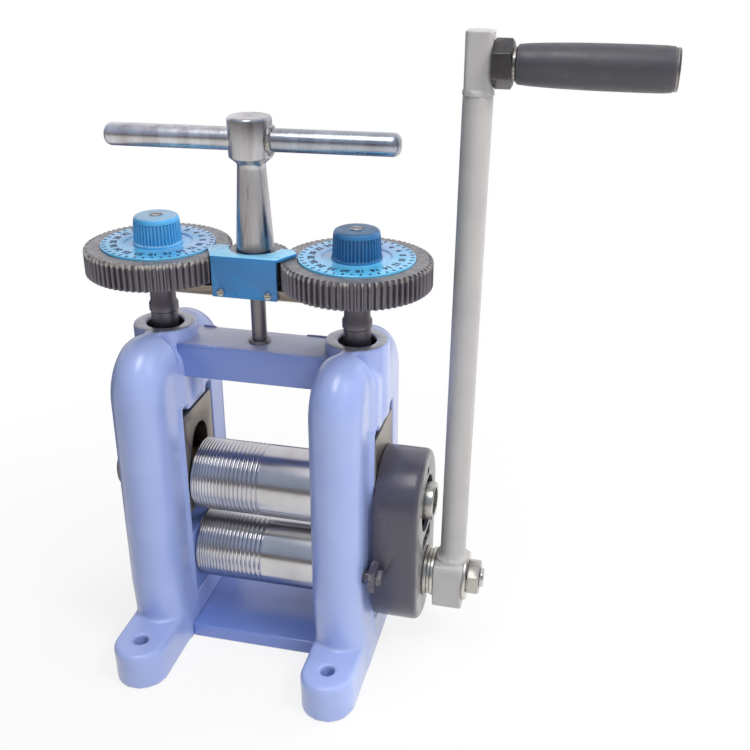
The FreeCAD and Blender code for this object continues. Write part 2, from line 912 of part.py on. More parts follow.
def crank_head():
    half = D.head_half
    shape = box(D.head_x - half, D.head_x + half, -half, half, D.head_base, D.head_top)
    rounded = fillet(shape, D.head_round, lambda b: b.XLength < 0.01 and b.YLength < 0.01)
    bore = rod_x(D.axle_radius, D.head_x - 20.0, D.head_x + 20.0, ZERO, D.grip_z)
    return cut(rounded, [bore])


def hub_washer():
    end = D.hub_end + D.crank_washer
    points = [
        (D.stud, D.hub_end),
        (D.crank_washer_radius, D.hub_end),
        (D.crank_washer_radius, end),
        (D.stud, end),
    ]
    return turned("hub_washer", points, False, ZERO, ZERO, D.lower_axis)


def hub_nut():
    start = D.hub_end + D.crank_washer
    nut = hexagon_x(D.crank_nut_radius, start, start + D.crank_nut, ZERO, D.lower_axis)
    bore = rod_x(D.stud, start - 5.0, start + D.crank_nut + 5.0, ZERO, D.lower_axis)
    return cut(nut, [bore])


def grip_nut():
    start = D.head_x + D.head_half
    nut = hexagon_x(D.grip_nut_radius, start, D.grip_nut_end, ZERO, D.grip_z)
    bore = rod_x(D.axle_radius, start - 5.0, D.grip_nut_end + 5.0, ZERO, D.grip_z)
    return cut(nut, [bore])


def grip_axle():
    flange = D.grip_nut_end
    end = D.grip_end + 1.5
    points = [
        (ZERO, D.head_x - D.head_half),
        (D.axle_radius, D.head_x - D.head_half),
        (D.axle_radius, flange),
        (D.grip_radius - 3.5, flange),
        (D.grip_radius - 3.5, flange + 1.6),
        (D.axle_radius, flange + 1.6),
        (D.axle_radius, D.grip_end - 2.9),
        (D.axle_radius + 3.0, D.grip_end - 2.9),
        (D.axle_radius + 3.0, end),
        (ZERO, end),
    ]
    return turned("grip_axle", points, False, ZERO, ZERO, D.grip_z)


def grip():
    bore = D.axle_radius + D.running
    recess = D.axle_radius + 3.4
    span = D.grip_end - D.grip_start
    points = [
        (bore, D.grip_start),
        (D.grip_radius - 2.2, D.grip_start),
        (D.grip_radius - 1.4, D.grip_start + 1.5),
        (D.grip_radius - 0.6, D.grip_start + span * 0.15),
        (D.grip_radius, D.grip_start + span * 0.4),
        (D.grip_radius, D.grip_start + span * 0.75),
        (D.grip_radius - 0.3, D.grip_end - 2.0),
        (D.grip_radius - 1.3, D.grip_end),
        (recess, D.grip_end),
        (recess, D.grip_end - 3.0),
        (bore, D.grip_end - 3.0),
    ]
    return turned("grip", points, False, ZERO, ZERO, D.grip_z)


def grip_ring():
    points = [
        (D.axle_radius + 3.4, D.grip_end),
        (D.grip_radius - 0.9, D.grip_end),
        (D.grip_radius - 1.6, D.grip_end + 2.0),
        (D.axle_radius + 3.4, D.grip_end + 2.0),
    ]
    return turned("grip_ring", points, False, ZERO, ZERO, D.grip_z)


# ---------------------------------------------------------------- screw-down

MODULE = SCREW_X * 2 / (D.gear_teeth + D.pinion_teeth)


def fine_gear(teeth, x, phase):
    """Spur blank of the screw-down train with bevelled rims."""
    module = MODULE.num
    count = int(round(teeth.num))
    pitch = module * count / 2
    radii = [pitch - 1.2 * module, pitch, pitch + 0.9 * module]
    width = module * math.pi / 2 - 0.5
    widths = [width + 0.55 * module, width, width - 0.75 * module]
    height = D.gear_top.num - D.gear_base.num
    shape = toothed(count, radii, widths, height, phase)
    tip = radii[2] + 0.5
    bevel = 1.6
    rim = [
        FreeCAD.Vector(0, 0, 0),
        FreeCAD.Vector(tip - bevel, 0, 0),
        FreeCAD.Vector(tip, 0, bevel),
        FreeCAD.Vector(tip, 0, height - bevel),
        FreeCAD.Vector(tip - bevel, 0, height),
        FreeCAD.Vector(0, 0, height),
    ]
    face = Part.Face(Part.makePolygon(rim + [rim[0]]))
    envelope = face.revolve(FreeCAD.Vector(0, 0, 0), FreeCAD.Vector(0, 0, 1), 360)
    at = FreeCAD.Placement(FreeCAD.Vector(x.num, 0, D.gear_base.num), FreeCAD.Rotation())
    return solid_feature(shape.common(envelope), at)


def screw_gear(x):
    phase = 0.0 if x.num < 0 else math.pi
    blank = fine_gear(D.gear_teeth, x, phase)
    recess = D.gear_top - D.dial_sink
    holes = [
        rod_z(D.dial_radius + 0.3, recess, D.gear_top + 5.0, x, ZERO),
        rod_z(D.gear_bore, D.gear_base - 5.0, D.gear_top, x, ZERO),
    ]
    return cut(blank, holes)


def centre_pinion():
    # one tooth gap faces each screw gear
    phase = math.pi / D.pinion_teeth.num
    blank = fine_gear(D.pinion_teeth, ZERO, phase)
    return cut(blank, [rod_z(D.shaft_radius, D.gear_base - 5.0, D.gear_top + 5.0, ZERO, ZERO)])


def adjusting_screw(name, x):
    shoulder = D.carrier_base - 0.3
    flange = D.screw_radius + D.collar_flange
    low = shoulder - D.collar_depth
    high = low + D.collar_length
    seat = D.gear_top - D.dial_sink
    points = [
        (ZERO, D.screw_tip),
        (D.screw_radius - 3.0, D.screw_tip),
        (D.screw_radius, D.screw_tip + 3.0),
        (D.screw_radius, low),
        (flange, low + 1.0),
        (flange, high),
        (D.collar_neck, high + 2.5),
        (D.collar_neck, shoulder),
        (D.neck_radius, shoulder),
        (D.neck_radius, D.gear_base),
        (D.gear_bore, D.gear_base),
        (D.gear_bore, seat),
        (D.knob_screw + D.running, seat),
        (D.knob_screw + D.running, seat - 15.0),
        (ZERO, seat - 15.0),
    ]
    return turned(name, points, True, x)


def dial(name, x):
    bore = D.knob_screw + 1.0
    base = D.gear_top - D.dial_sink + 0.1
    points = [
        (bore, base),
        (D.dial_radius, base),
        (D.dial_radius, D.dial_top - 0.5),
        (D.dial_radius - 0.5, D.dial_top),
        (bore, D.dial_top),
    ]
    return turned(name, points, True, x)


def knob(name, x):
    bore = D.knob_screw
    points = [
        (bore, D.dial_top),
        (D.knob_base, D.dial_top),
        (D.knob_tip, D.knob_top - 3.0),
        (D.knob_tip - 1.0, D.knob_top - 1.0),
        (D.knob_tip - 3.0, D.knob_top),
        (bore, D.knob_top),
    ]
    return turned(name, points, True, x)


def knob_screw(name, x):
    seat = D.gear_top - D.dial_sink
    low = seat - 14.0
    top = D.knob_top + D.knob_screw_rise
    points = [
        (ZERO, low),
        (D.knob_screw, low),
        (D.knob_screw, D.knob_top),
        (D.knob_screw_head, D.knob_top),
        (D.knob_screw_head, top - 0.3),
        (D.knob_screw_head - 0.4, top),
        (ZERO, top),
    ]
    shape = turned(name, points, True, x)
    slot = box(x - 6.0, x + 6.0, -0.6, 0.6, top - 0.6, top + 2.0)
    return cut(shape, [slot])


def carrier_bar():
    half = D.carrier_half
    shape = slab("carrier_bar", centred_rect(D.carrier_reach, half), D.carrier_base, D.carrier_top)
    low = D.carrier_base - 5.0
    high = D.carrier_top + 5.0
    neck = D.neck_radius + D.running
    holes = [
        rod_z(neck, low, high, -SCREW_X, ZERO),
        rod_z(neck, low, high, SCREW_X, ZERO),
        rod_z(D.shaft_radius + D.running, low, high, ZERO, ZERO),
    ]
    for side in (-1, 1):
        x = D.bracket_screw_x * side
        holes.append(rod_y(1.8, -half - 1.0, 9.0 - half, x, D.bracket_screw_z))
    return cut(shape, holes)


def gear_bracket():
    back = -D.carrier_half
    front = back - D.sheet
    half = D.bracket_half
    reach = D.wing_reach
    points = [
        (-half, front),
        (half, front),
        (reach, -8.0),
        (reach - 5.0, ZERO),
        (5.0 - reach, ZERO),
        (-reach, -8.0),
    ]
    top = slab("bracket_top", points, D.bracket_top - D.sheet, D.bracket_top)
    lip = D.bracket_top - 1.0
    plate = box(-half, half, front, back, D.carrier_base, lip)
    low = D.bracket_top - D.sheet - 5.0
    holes = [rod_z(D.bracket_arc, low, D.bracket_top + 5.0, ZERO, ZERO)]
    for side in (-1, 1):
        x = D.bracket_screw_x * side
        holes.append(rod_y(1.8, front - 1.0, back + 1.0, x, D.bracket_screw_z))
    return cut(fuse([top, plate]), holes)


def bracket_screws():
    back = -D.carrier_half
    front = back - D.sheet
    screws = []
    for side in (-1, 1):
        x = D.bracket_screw_x * side
        head = rod_y(D.bracket_screw_head, front - 2.0, front, x, D.bracket_screw_z)
        shank = rod_y(1.8, front - 1.0, back + 8.5, x, D.bracket_screw_z)
        slot = box(x - 5.0, x + 5.0, front - 3.0, front - 1.1,
                   D.bracket_screw_z - 0.45, D.bracket_screw_z + 0.45)
        screws.append(cut(fuse([head, shank]), [slot]))
    return group(screws)


def centre_shaft():
    points = [
        (ZERO, D.shaft_base),
        (D.shaft_radius - 1.0, D.shaft_base),
        (D.shaft_radius, D.shaft_base + 1.0),
        (D.shaft_radius, D.gear_top + 45.0),
        (ZERO, D.gear_top + 45.0),
    ]
    return turned("centre_shaft", points, True)


def handle_hub():
    points = [
        (D.shaft_radius, D.gear_top),
        (D.sleeve_radius, D.gear_top),
        (D.sleeve_radius, D.gear_top + 2.0),
        (D.cap_neck, D.cap_base - 8.0),
        (D.cap_neck, D.cap_base - 5.0),
        (D.cap_radius, D.cap_base),
        (D.cap_radius, D.cap_top - 1.8),
        (D.cap_radius - 1.8, D.cap_top),
        (Size.of(1.6), D.cap_top),
        (ZERO, D.cap_top - 1.6),
        (ZERO, D.gear_top + 45.0),
        (D.shaft_radius, D.gear_top + 45.0),
    ]
    shape = turned("handle_hub", points, True)
    return cut(shape, [cross_rod(D.bar_radius, Size.of(30))])


def cross_rod(radius, half):
    """Rod through the axis of the tee, turned about the axis by bar_turn."""
    angle = math.radians(D.bar_turn.num)
    rod = doc.addObject("Part::Cylinder", "cross_rod")
    bind(rod, "Radius", radius)
    bind(rod, "Height", half * 2)
    turn = FreeCAD.Rotation(FreeCAD.Vector(0, 0, 1), D.bar_turn.num)
    place(rod, -half * math.cos(angle), -half * math.sin(angle), D.bar_z, turn * X_UP)
    return rod


def handle_bar():
    bar = cross_rod(D.bar_radius, D.bar_half)
    return fillet(bar, D.bar_round, lambda b: b.XLength < D.bar_half.num)


# ---------------------------------------------------------------- assembly

def build():
    part("base_plate", base_plate())
    part("left_side_frame", side_frame(-SCREW_X))
    right = side_frame(SCREW_X)
    part("right_side_frame", cut(right, cover_bolt_holes()))
    part("top_crossbar", top_crossbar())
    part("shaft_bush", shaft_bush())
    part("gear_cover", gear_cover())
    part("cover_bolts", cover_bolts())
    for word, side in (("left", -1), ("right", 1)):
        x = SCREW_X * side
        part(word + "_screw_nut", screw_nut(word + "_screw_nut", x))
        lower = bearing_block(side, D.lower_axis, D.window_base, D.lower_block_top, False)
        upper = bearing_block(side, D.upper_axis, D.upper_block_base, D.upper_block_top, True)
        part(word + "_lower_block", lower)
        part(word + "_upper_block", upper)
        part(word + "_lower_bush", bush(word + "_lower_bush", side, D.lower_axis))
        part(word + "_upper_bush", bush(word + "_upper_bush", side, D.upper_axis))
        part(word + "_screw", adjusting_screw(word + "_screw", x))
        part(word + "_screw_gear", screw_gear(x))
        part(word + "_dial", dial(word + "_dial", x))
        part(word + "_knob", knob(word + "_knob", x))
        part(word + "_knob_screw", knob_screw(word + "_knob_screw", x))
    part("thrust_pads", thrust_pads())
    part("return_springs", return_springs())
    part("lower_roll", lower_roll())
    part("upper_roll", upper_roll())
    # a tooth of the lower gear points up into a gap of the upper one
    part("lower_roll_gear", drive_gear("lower_roll_gear", D.lower_axis, 0.0))
    part("upper_roll_gear", drive_gear("upper_roll_gear", D.upper_axis, math.pi / 12))
    part("lower_gear_key", drive_key(D.lower_axis))
    part("upper_gear_key", drive_key(D.upper_axis))
    part("upper_shaft_nut", upper_shaft_nut())
    part("upper_end_collar", upper_end_collar())
    part("crank_spacers", crank_spacers())
    part("crank_hub", crank_hub())
    part("hub_key", hub_key())
    part("hub_washer", hub_washer())
    part("hub_nut", hub_nut())
    part("crank_arm", crank_arm())
    part("crank_head", crank_head())
    part("grip_axle", grip_axle())
    part("grip_nut", grip_nut())
    part("grip", grip())
    part("grip_ring", grip_ring())
    part("carrier_bar", carrier_bar())
    part("gear_bracket", gear_bracket())
    part("bracket_screws", bracket_screws())
    part("centre_pinion", centre_pinion())
    part("centre_shaft", centre_shaft())
    part("handle_hub", handle_hub())
    part("handle_bar", handle_bar())


def check_and_write():
    doc.recompute()
    for obj in doc.Objects:
        state = [word for word in obj.State if word in ("Invalid", "Error")]
        if state:
            raise RuntimeError("%s is %s" % (obj.Label, state))
    os.makedirs("parts", exist_ok=True)
    for name, obj in PARTS:
        shape = obj.Shape
        if shape.isNull() or not shape.isValid() or not shape.Solids:
            raise RuntimeError("bad shape: " + name)
        shape.exportStep("parts/" + name + ".step")
        print(name, len(shape.Solids), round(shape.Volume / 1000, 2))


build()
check_and_write()
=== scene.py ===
"""Jewellers rolling mill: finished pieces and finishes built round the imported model."""
import math

import bpy
from mathutils import Matrix, Vector


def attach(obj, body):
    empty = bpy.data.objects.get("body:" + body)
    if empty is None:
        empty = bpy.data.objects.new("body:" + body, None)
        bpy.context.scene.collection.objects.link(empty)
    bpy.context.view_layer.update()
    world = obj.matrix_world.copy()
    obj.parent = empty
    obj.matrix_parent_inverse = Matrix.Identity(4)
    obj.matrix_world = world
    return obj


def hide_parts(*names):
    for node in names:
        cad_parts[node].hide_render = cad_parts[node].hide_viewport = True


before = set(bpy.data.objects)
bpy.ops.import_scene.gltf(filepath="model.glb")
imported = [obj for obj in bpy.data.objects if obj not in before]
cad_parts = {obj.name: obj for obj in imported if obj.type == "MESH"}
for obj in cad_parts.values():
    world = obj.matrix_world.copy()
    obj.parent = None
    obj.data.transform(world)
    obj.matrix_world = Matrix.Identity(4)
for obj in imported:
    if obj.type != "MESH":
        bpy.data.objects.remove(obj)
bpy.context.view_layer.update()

MM = 0.001
SCREW_X = 74.0
LOWER_AXIS = 65.5
UPPER_AXIS = 129.5
GRIP_AXIS = 450.5
DIAL_TOP = 318.9
ROLL_RADIUS = 28.25
JOURNAL = 15.0
GROOVES = 18
ARM_X, ARM_FOOT, ARM_LENGTH, ARM_LEAN = 149.6, 81.0, 351.0, 3.3
GRIP_START = 176.2
TEE_BAR, TEE_BAR_HEIGHT, TEE_TURN = 7.9, 395.7, math.radians(3.4)
FLUTES = 40
STROKES = 40


# ---------------------------------------------------------------- modelling helpers

def clear_selection():
    if bpy.context.object and bpy.context.object.mode != "OBJECT":
        bpy.ops.object.mode_set(mode="OBJECT")
    bpy.ops.object.select_all(action="DESELECT")


def choose(obj):
    clear_selection()
    obj.select_set(True)
    bpy.context.view_layer.objects.active = obj


def fix_place():
    """Puts the place, turn and size of the chosen piece into its mesh."""
    bpy.ops.object.transform_apply(location=True, rotation=True, scale=True)


def named(name):
    """Names the piece just added and fixes its place."""
    obj = bpy.context.object
    obj.name = name
    fix_place()
    return obj


def open_mesh(obj):
    choose(obj)
    bpy.ops.object.mode_set(mode="EDIT")
    bpy.ops.mesh.select_mode(type="VERT")


def close_mesh():
    bpy.ops.object.mode_set(mode="OBJECT")


def pick_points(obj, rule):
    """Selects the mesh points that a rule on their place accepts, in edit mode."""
    bpy.ops.mesh.select_all(action="DESELECT")
    bpy.ops.object.mode_set(mode="OBJECT")
    for point in obj.data.vertices:
        point.select = bool(rule(point.co))
    bpy.ops.object.mode_set(mode="EDIT")


def apply_modifier(obj, kind, **settings):
    choose(obj)
    modifier = obj.modifiers.new(kind.lower(), kind)
    for name, value in settings.items():
        setattr(modifier, name, value)
    bpy.ops.object.modifier_apply(modifier=modifier.name)


def soften(obj, width, segments=2, angle=28.0):
    """Rounds the edges of a piece; width in millimetres."""
    apply_modifier(obj, "BEVEL", width=width * MM, segments=segments, limit_method="ANGLE",
                   angle_limit=math.radians(angle), use_clamp_overlap=True)


def smooth(obj, angle=35.0):
    choose(obj)
    bpy.ops.object.shade_smooth_by_angle(angle=math.radians(angle))


# turns about X and about Y that lay a piece made round Z along each axis
AXIS_TURNS = {"X": (0.0, math.pi / 2), "Y": (-math.pi / 2, 0.0), "Z": (0.0, 0.0)}


def settle(obj, at, axis="Z", turn=0.0):
    """Turns a piece made round Z to its axis, moves it and puts the place into its mesh."""
    choose(obj)
    spin = Matrix.Rotation(turn, 4, "Z")
    about_x, about_y = AXIS_TURNS[axis]
    tilt = Matrix.Rotation(about_y, 4, "Y") @ Matrix.Rotation(about_x, 4, "X")
    obj.matrix_world = Matrix.Translation(Vector(at) * MM) @ tilt @ spin @ obj.matrix_world
    fix_place()


def turned(name, profile, at=(0, 0, 0), axis="Z", sides=96, closed=False):
    """Turned piece from a profile of (radius, along) in millimetres; closed joins its ends, for a ring."""
    if closed:
        profile = profile + profile[:1]
    clear_selection()
    radius, along = profile[0]
    bpy.ops.mesh.primitive_circle_add(vertices=sides, radius=radius * MM, fill_type="NOTHING",
                                      location=(0, 0, along * MM))
    obj = named(name)
    bpy.ops.object.mode_set(mode="EDIT")
    for next_radius, next_along in profile[1:]:
        step = (0, 0, (next_along - along) * MM)
        bpy.ops.mesh.extrude_region_move(TRANSFORM_OT_translate={"value": step})
        scale = next_radius / radius
        bpy.ops.transform.resize(value=(scale, scale, 1.0), center_override=(0, 0, next_along * MM))
        radius, along = next_radius, next_along
    if closed:
        bpy.ops.mesh.select_all(action="SELECT")
        bpy.ops.mesh.remove_doubles(threshold=1e-6)
    else:
        bpy.ops.mesh.edge_face_add()
        bpy.ops.mesh.select_all(action="DESELECT")
        bpy.ops.mesh.select_non_manifold()
        bpy.ops.mesh.edge_face_add()
    bpy.ops.mesh.select_all(action="SELECT")
    bpy.ops.mesh.normals_make_consistent(inside=False)
    close_mesh()
    settle(obj, at, axis)
    return obj


def fair_copy(name, *nodes):
    """Copy of CAD nodes with their loose triangles merged into clean faces."""
    copies = []
    for node in nodes:
        copy = bpy.data.objects.new(name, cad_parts[node].data.copy())
        bpy.context.scene.collection.objects.link(copy)
        copies.append(copy)
    clear_selection()
    for copy in copies:
        copy.select_set(True)
    bpy.context.view_layer.objects.active = copies[0]
    if len(copies) > 1:
        bpy.ops.object.join()
    obj = bpy.context.view_layer.objects.active
    obj.name = name
    open_mesh(obj)
    bpy.ops.mesh.select_all(action="SELECT")
    bpy.ops.mesh.customdata_custom_splitnormals_clear()
    bpy.ops.mesh.remove_doubles(threshold=3e-6)
    bpy.ops.mesh.dissolve_limited(angle_limit=math.radians(0.4))
    close_mesh()
    return obj


def join(name, pieces):
    clear_selection()
    for piece in pieces:
        piece.select_set(True)
    bpy.context.view_layer.objects.active = pieces[0]
    bpy.ops.object.join()
    obj = bpy.context.view_layer.objects.active
    obj.name = name
    return obj


def block(name, low, high):
    """Box between two corners in millimetres, ready to be shaped."""
    clear_selection()
    size = [(b - a) * MM for a, b in zip(low, high)]
    centre = [(a + b) / 2 * MM for a, b in zip(low, high)]
    bpy.ops.mesh.primitive_cube_add(size=1.0, location=centre)
    bpy.context.object.scale = size
    return named(name)


def cut_with(obj, tool, operation="DIFFERENCE"):
    """Boolean of a piece with a tool that is used up."""
    apply_modifier(obj, "BOOLEAN", operation=operation, solver="EXACT", object=tool)
    bpy.data.objects.remove(tool, do_unlink=True)


def hexagon(name, radius, length, at, bore=0.0, chamfer=(True, True), axis="X", edge=0.25):
    """Hexagon nut or head along the axis, corners cut back by a turned chamfer."""
    clear_selection()
    bpy.ops.mesh.primitive_cylinder_add(vertices=6, radius=radius * MM, depth=length * MM,
                                        location=(0, 0, length / 2 * MM))
    obj = named(name)
    flat = radius * 0.855
    drop = (radius * 1.02 - flat) * 0.6
    low = [(flat, 0.0), (radius * 1.02, drop)] if chamfer[0] else [(radius * 1.02, 0.0)]
    high = [(radius * 1.02, length - drop), (flat, length)] if chamfer[1] else [(radius * 1.02, length)]
    cut_with(obj, turned("guard", low + high), "INTERSECT")
    if bore:
        cut_with(obj, turned("bore", [(bore, -1.0), (bore, length + 1.0)]))
    soften(obj, edge, 2, 20.0)
    smooth(obj, 30.0)
    settle(obj, at, axis, math.pi / 6)
    return obj


def roughen(obj, amount, size):
    """Pushes the surface in and out by lumps of a size; both in millimetres."""
    lumps = bpy.data.textures.new("lumps", "CLOUDS")
    lumps.noise_scale = size * MM
    apply_modifier(obj, "DISPLACE", texture=lumps, strength=amount * MM, mid_level=0.5)


def bead(name, major, minor, at, axis="Z", lumps=1.2, size=2.4):
    """Run of weld laid round a joint."""
    clear_selection()
    bpy.ops.mesh.primitive_torus_add(major_radius=major * MM, minor_radius=minor * MM,
                                     major_segments=120, minor_segments=18)
    obj = named(name)
    settle(obj, at, axis)
    roughen(obj, lumps, size)
    return obj


def skin(obj, size, rounds, angle=60.0):
    """Melts a piece and what is joined to it into one soft skin."""
    apply_modifier(obj, "REMESH", mode="VOXEL", voxel_size=size * MM, adaptivity=0.0)
    apply_modifier(obj, "SMOOTH", factor=0.5, iterations=rounds)
    smooth(obj, angle)


def nudge(obj, direction, distance, rule):
    """Moves the surface along X, Y or Z by a share of a distance that a rule gives for each place."""
    group = obj.vertex_groups.new(name="share")
    for point in obj.data.vertices:
        share = rule(*(point.co / MM))
        if share > 0.0:
            group.add([point.index], share, "REPLACE")
    apply_modifier(obj, "DISPLACE", direction=direction, strength=distance * MM, mid_level=0.0,
                   vertex_group="share")
    obj.vertex_groups.clear()


def ramp(value, low, high):
    """Nought below one value, one above another and straight between."""
    return min(1.0, max(0.0, (value - low) / (high - low)))


# ---------------------------------------------------------------- finishes

class Nodes:
    """Short words for building a node tree."""

    def __init__(self, owner):
        owner.use_nodes = True
        self.tree = owner.node_tree

    def add(self, kind, inputs=None, **settings):
        node = self.tree.nodes.new(kind)
        for key, value in settings.items():
            setattr(node, key, value)
        for key, value in (inputs or {}).items():
            self.feed(node.inputs[key], value)
        return node

    def feed(self, socket, value):
        if isinstance(value, bpy.types.NodeSocket):
            self.tree.links.new(value, socket)
        else:
            socket.default_value = value

    def between(self, value, low, high, to_low=0.0, to_high=1.0):
        """Value spread from one range to another, clamped."""
        node = self.add("ShaderNodeMapRange", {
            "Value": value, "From Min": low, "From Max": high, "To Min": to_low, "To Max": to_high})
        return node.outputs["Result"]

    def blend(self, factor, a, b):
        node = self.add("ShaderNodeMix", data_type="RGBA")
        self.feed(node.inputs[0], factor)
        self.feed(node.inputs[6], a if isinstance(a, bpy.types.NodeSocket) else (*a, 1.0))
        self.feed(node.inputs[7], b if isinstance(b, bpy.types.NodeSocket) else (*b, 1.0))
        return node.outputs[2]

    def math(self, operation, a, b=0.0):
        node = self.add("ShaderNodeMath", operation=operation)
        self.feed(node.inputs[0], a)
        self.feed(node.inputs[1], b)
        return node.outputs[0]

    def both(self, a, b):
        """Where one mask and the other hold."""
        return self.math("MULTIPLY", a, b)


class Finish(Nodes):
    """Node tree of one finish, built round its Principled shader."""

    def __init__(self, name, metallic=0.0, roughness=0.5, **fixed):
        self.mat = bpy.data.materials.new(name)
        super().__init__(self.mat)
        self.shader = self.tree.nodes["Principled BSDF"]
        self.shader.inputs["Metallic"].default_value = metallic
        self.shader.inputs["Roughness"].default_value = roughness
        for key, value in fixed.items():
            self.shader.inputs[key.replace("_", " ").title().replace("Ior", "IOR")].default_value = value
        self.place = self.add("ShaderNodeTexCoord").outputs["Object"]

    def noise(self, scale, detail=3.0, rough=0.5, stretch=(1, 1, 1)):
        scaled = self.add("ShaderNodeMapping", {"Vector": self.place, "Scale": stretch})
        node = self.add("ShaderNodeTexNoise", {
            "Vector": scaled.outputs[0], "Scale": scale, "Detail": detail, "Roughness": rough})
        return node.outputs["Fac"]

    def mottled(self, a, b, *noise, low=0.3, high=0.7):
        """Two tones that run into each other in patches of a noise."""
        return self.blend(self.between(self.noise(*noise), low, high), a, b)

    def facing(self, axis):
        """One component of the surface normal, 0 X, 1 Y, 2 Z."""
        normal = self.add("ShaderNodeNewGeometry").outputs["Normal"]
        return self.add("ShaderNodeSeparateXYZ", {"Vector": normal}).outputs[axis]

    def along(self, axis):
        return self.add("ShaderNodeSeparateXYZ", {"Vector": self.place}).outputs[axis]

    def edges(self, low=0.52, high=0.6):
        """Raised edges, from how sharply the surface turns."""
        pointiness = self.add("ShaderNodeNewGeometry").outputs["Pointiness"]
        return self.between(pointiness, low, high)

    def creases(self, low=0.485, high=0.42):
        """Hollow corners, from how sharply the surface turns inwards."""
        pointiness = self.add("ShaderNodeNewGeometry").outputs["Pointiness"]
        return self.between(pointiness, low, high)

    def dirt(self, tone, colour, share, full=1.0):
        """A tone darkened in its hollow corners: painted shade."""
        return self.blend(self.between(self.creases(), 0.0, full, 0.0, share), tone, colour)

    def paint(self):
        """The colour as it is so far."""
        return self.shader.inputs["Base Color"].links[0].from_socket

    def colour(self, socket):
        self.feed(self.shader.inputs["Base Color"], socket)

    def rough(self, socket):
        self.feed(self.shader.inputs["Roughness"], socket)

    def relief(self, *layers):
        """Stacked bumps of (height, strength, distance in millimetres)."""
        below = None
        for height, strength, distance in layers:
            inputs = {"Height": height, "Strength": strength, "Distance": distance * MM}
            if below is not None:
                inputs["Normal"] = below
            below = self.add("ShaderNodeBump", inputs).outputs["Normal"]
        self.tree.links.new(below, self.shader.inputs["Normal"])


def srgb(red, green, blue):
    """Linear colour of an everyday 0 to 255 colour."""
    def linear(value):
        value /= 255.0
        return value / 12.92 if value <= 0.04045 else ((value + 0.055) / 1.055) ** 2.4
    return linear(red), linear(green), linear(blue)


def shade(colour, share, lift=0.0):
    """A colour made darker or lighter by a share, and lifted a little."""
    return tuple(min(1.0, c * share + lift) for c in colour)


def enamel(name, base, light, dark, roughness=0.34, coat=1.0, grain=0.18, chips=0.0, hollow_shade_share=0.5):
    """Gloss paint over cast or welded metal: soft tone shifts and orange peel, painted shade in hollow
    corners, painted highlights on raised edges and bare chips on edges.
    """
    f = Finish(name, 0.0, roughness, coat_weight=coat, coat_roughness=0.22)
    tone = f.mottled(base, light, 16.0, 4.0)
    tone = f.blend(f.between(f.noise(34.0, 4.0, 0.5), 0.5, 0.85, 0.0, 0.35), tone, dark)
    if hollow_shade_share:
        # painted shade in the hollow corners; a share of nought also leaves out the painted edge highlight
        tone = f.dirt(tone, shade(dark, 0.6), hollow_shade_share)
        # painted highlight: raised edges lighter
        tone = f.blend(f.edges(0.53, 0.62), tone, shade(light, 1.12))
    if chips:
        bare = f.both(f.edges(0.55, 0.6), f.between(f.noise(260.0, 4.0, 0.7), 0.5, 0.58, 0.0, chips))
        tone = f.blend(bare, tone, srgb(170, 164, 156))
    f.colour(tone)
    f.rough(f.between(f.noise(90.0, 4.0), 0.3, 0.7, roughness - 0.05, roughness + 0.09))
    f.relief((f.noise(34.0, 3.0), 0.4, grain * 2.0), (f.noise(330.0, 2.0), 0.22, grain * 0.5))
    return f


def casting_enamel():
    """Frame paint; the boss top rings carry a grey painted reflection of the gears above, made pale against
    their shade, and the bore walls carry painted shade.
    """
    f = enamel("casting_enamel", srgb(152, 170, 226), srgb(162, 180, 232), srgb(134, 152, 212), hollow_shade_share=0.0)
    paint = f.paint()
    up = f.between(f.facing(2), 0.93, 0.99)
    high = f.between(f.along(2), 0.2555, 0.2563)
    # painted reflection of the gears above: boss top ring grey, made pale against the shade they cast
    reflection_tone = f.mottled(srgb(174, 174, 184), srgb(134, 136, 150), 240.0, 4.0, 0.6, low=0.35)
    across = f.math("SUBTRACT", f.math("ABSOLUTE", f.along(0)), SCREW_X * MM)
    depth = f.along(1)
    reach = f.math("SQRT", f.math("ADD", f.both(across, across), f.both(depth, depth)))
    face = f.both(f.both(up, high), f.between(reach, 0.0240, 0.0234))
    f.feed(f.shader.inputs["Metallic"], f.both(face, 0.6))
    with_gear_reflection = f.blend(face, paint, reflection_tone)
    # painted shade: bore walls dark
    bore = f.both(f.between(reach, 0.0146, 0.0141), f.between(f.along(2), 0.190, 0.200))
    f.colour(f.blend(bore, with_gear_reflection, srgb(58, 56, 66)))
    return f.mat


def deep_enamel():
    """Frame paint for the bar, the base and the lower blocks, darker than the castings as painted shade; the
    top of the bar is painted paler as light.
    """
    # painted shade: these tones are darker than the castings' paint
    f = enamel("frame_enamel", srgb(104, 128, 197), srgb(114, 138, 205), srgb(92, 114, 184), hollow_shade_share=0.35)
    paint = f.paint()
    # painted light: the top of the bar paler
    top = f.both(f.between(f.facing(2), 0.7, 0.95), f.between(f.along(2), 0.2440, 0.2460))
    f.colour(f.blend(top, paint, srgb(156, 163, 202)))
    return f.mat


def bare_steel(name, base, tint, roughness, lines, wear_and_light=None, anisotropic=0.0, metallic=1.0, depth=1.0):
    """Machined metal: tool lines across one axis, stains and small scratches, with painted shade in its
    hollows and edges brightened as wear and painted highlight.
    """
    f = Finish(name, metallic, roughness, anisotropic=anisotropic)
    tool = f.noise(700.0, 3.0, 0.6, lines)
    stain = f.noise(24.0, 5.0, 0.6)
    tone = f.blend(f.between(stain, 0.35, 0.7), base, tint)
    tone = f.blend(f.between(tool, 0.35, 0.75, 0.0, 0.3), tone, shade(tint, 0.72))
    # painted shade in hollow corners
    tone = f.dirt(tone, shade(tint, 0.3), 0.7)
    # edges brightened: wear and painted highlight
    if wear_and_light:
        tone = f.blend(f.edges(0.53, 0.6), tone, wear_and_light)
    f.colour(tone)
    f.rough(f.between(f.noise(160.0, 4.0, 0.6, lines), 0.3, 0.7, roughness - 0.06, roughness + 0.09))
    f.relief((tool, 0.1 * depth, 0.04), (f.noise(60.0, 4.0), 0.07 * depth, 0.12))
    return f.mat


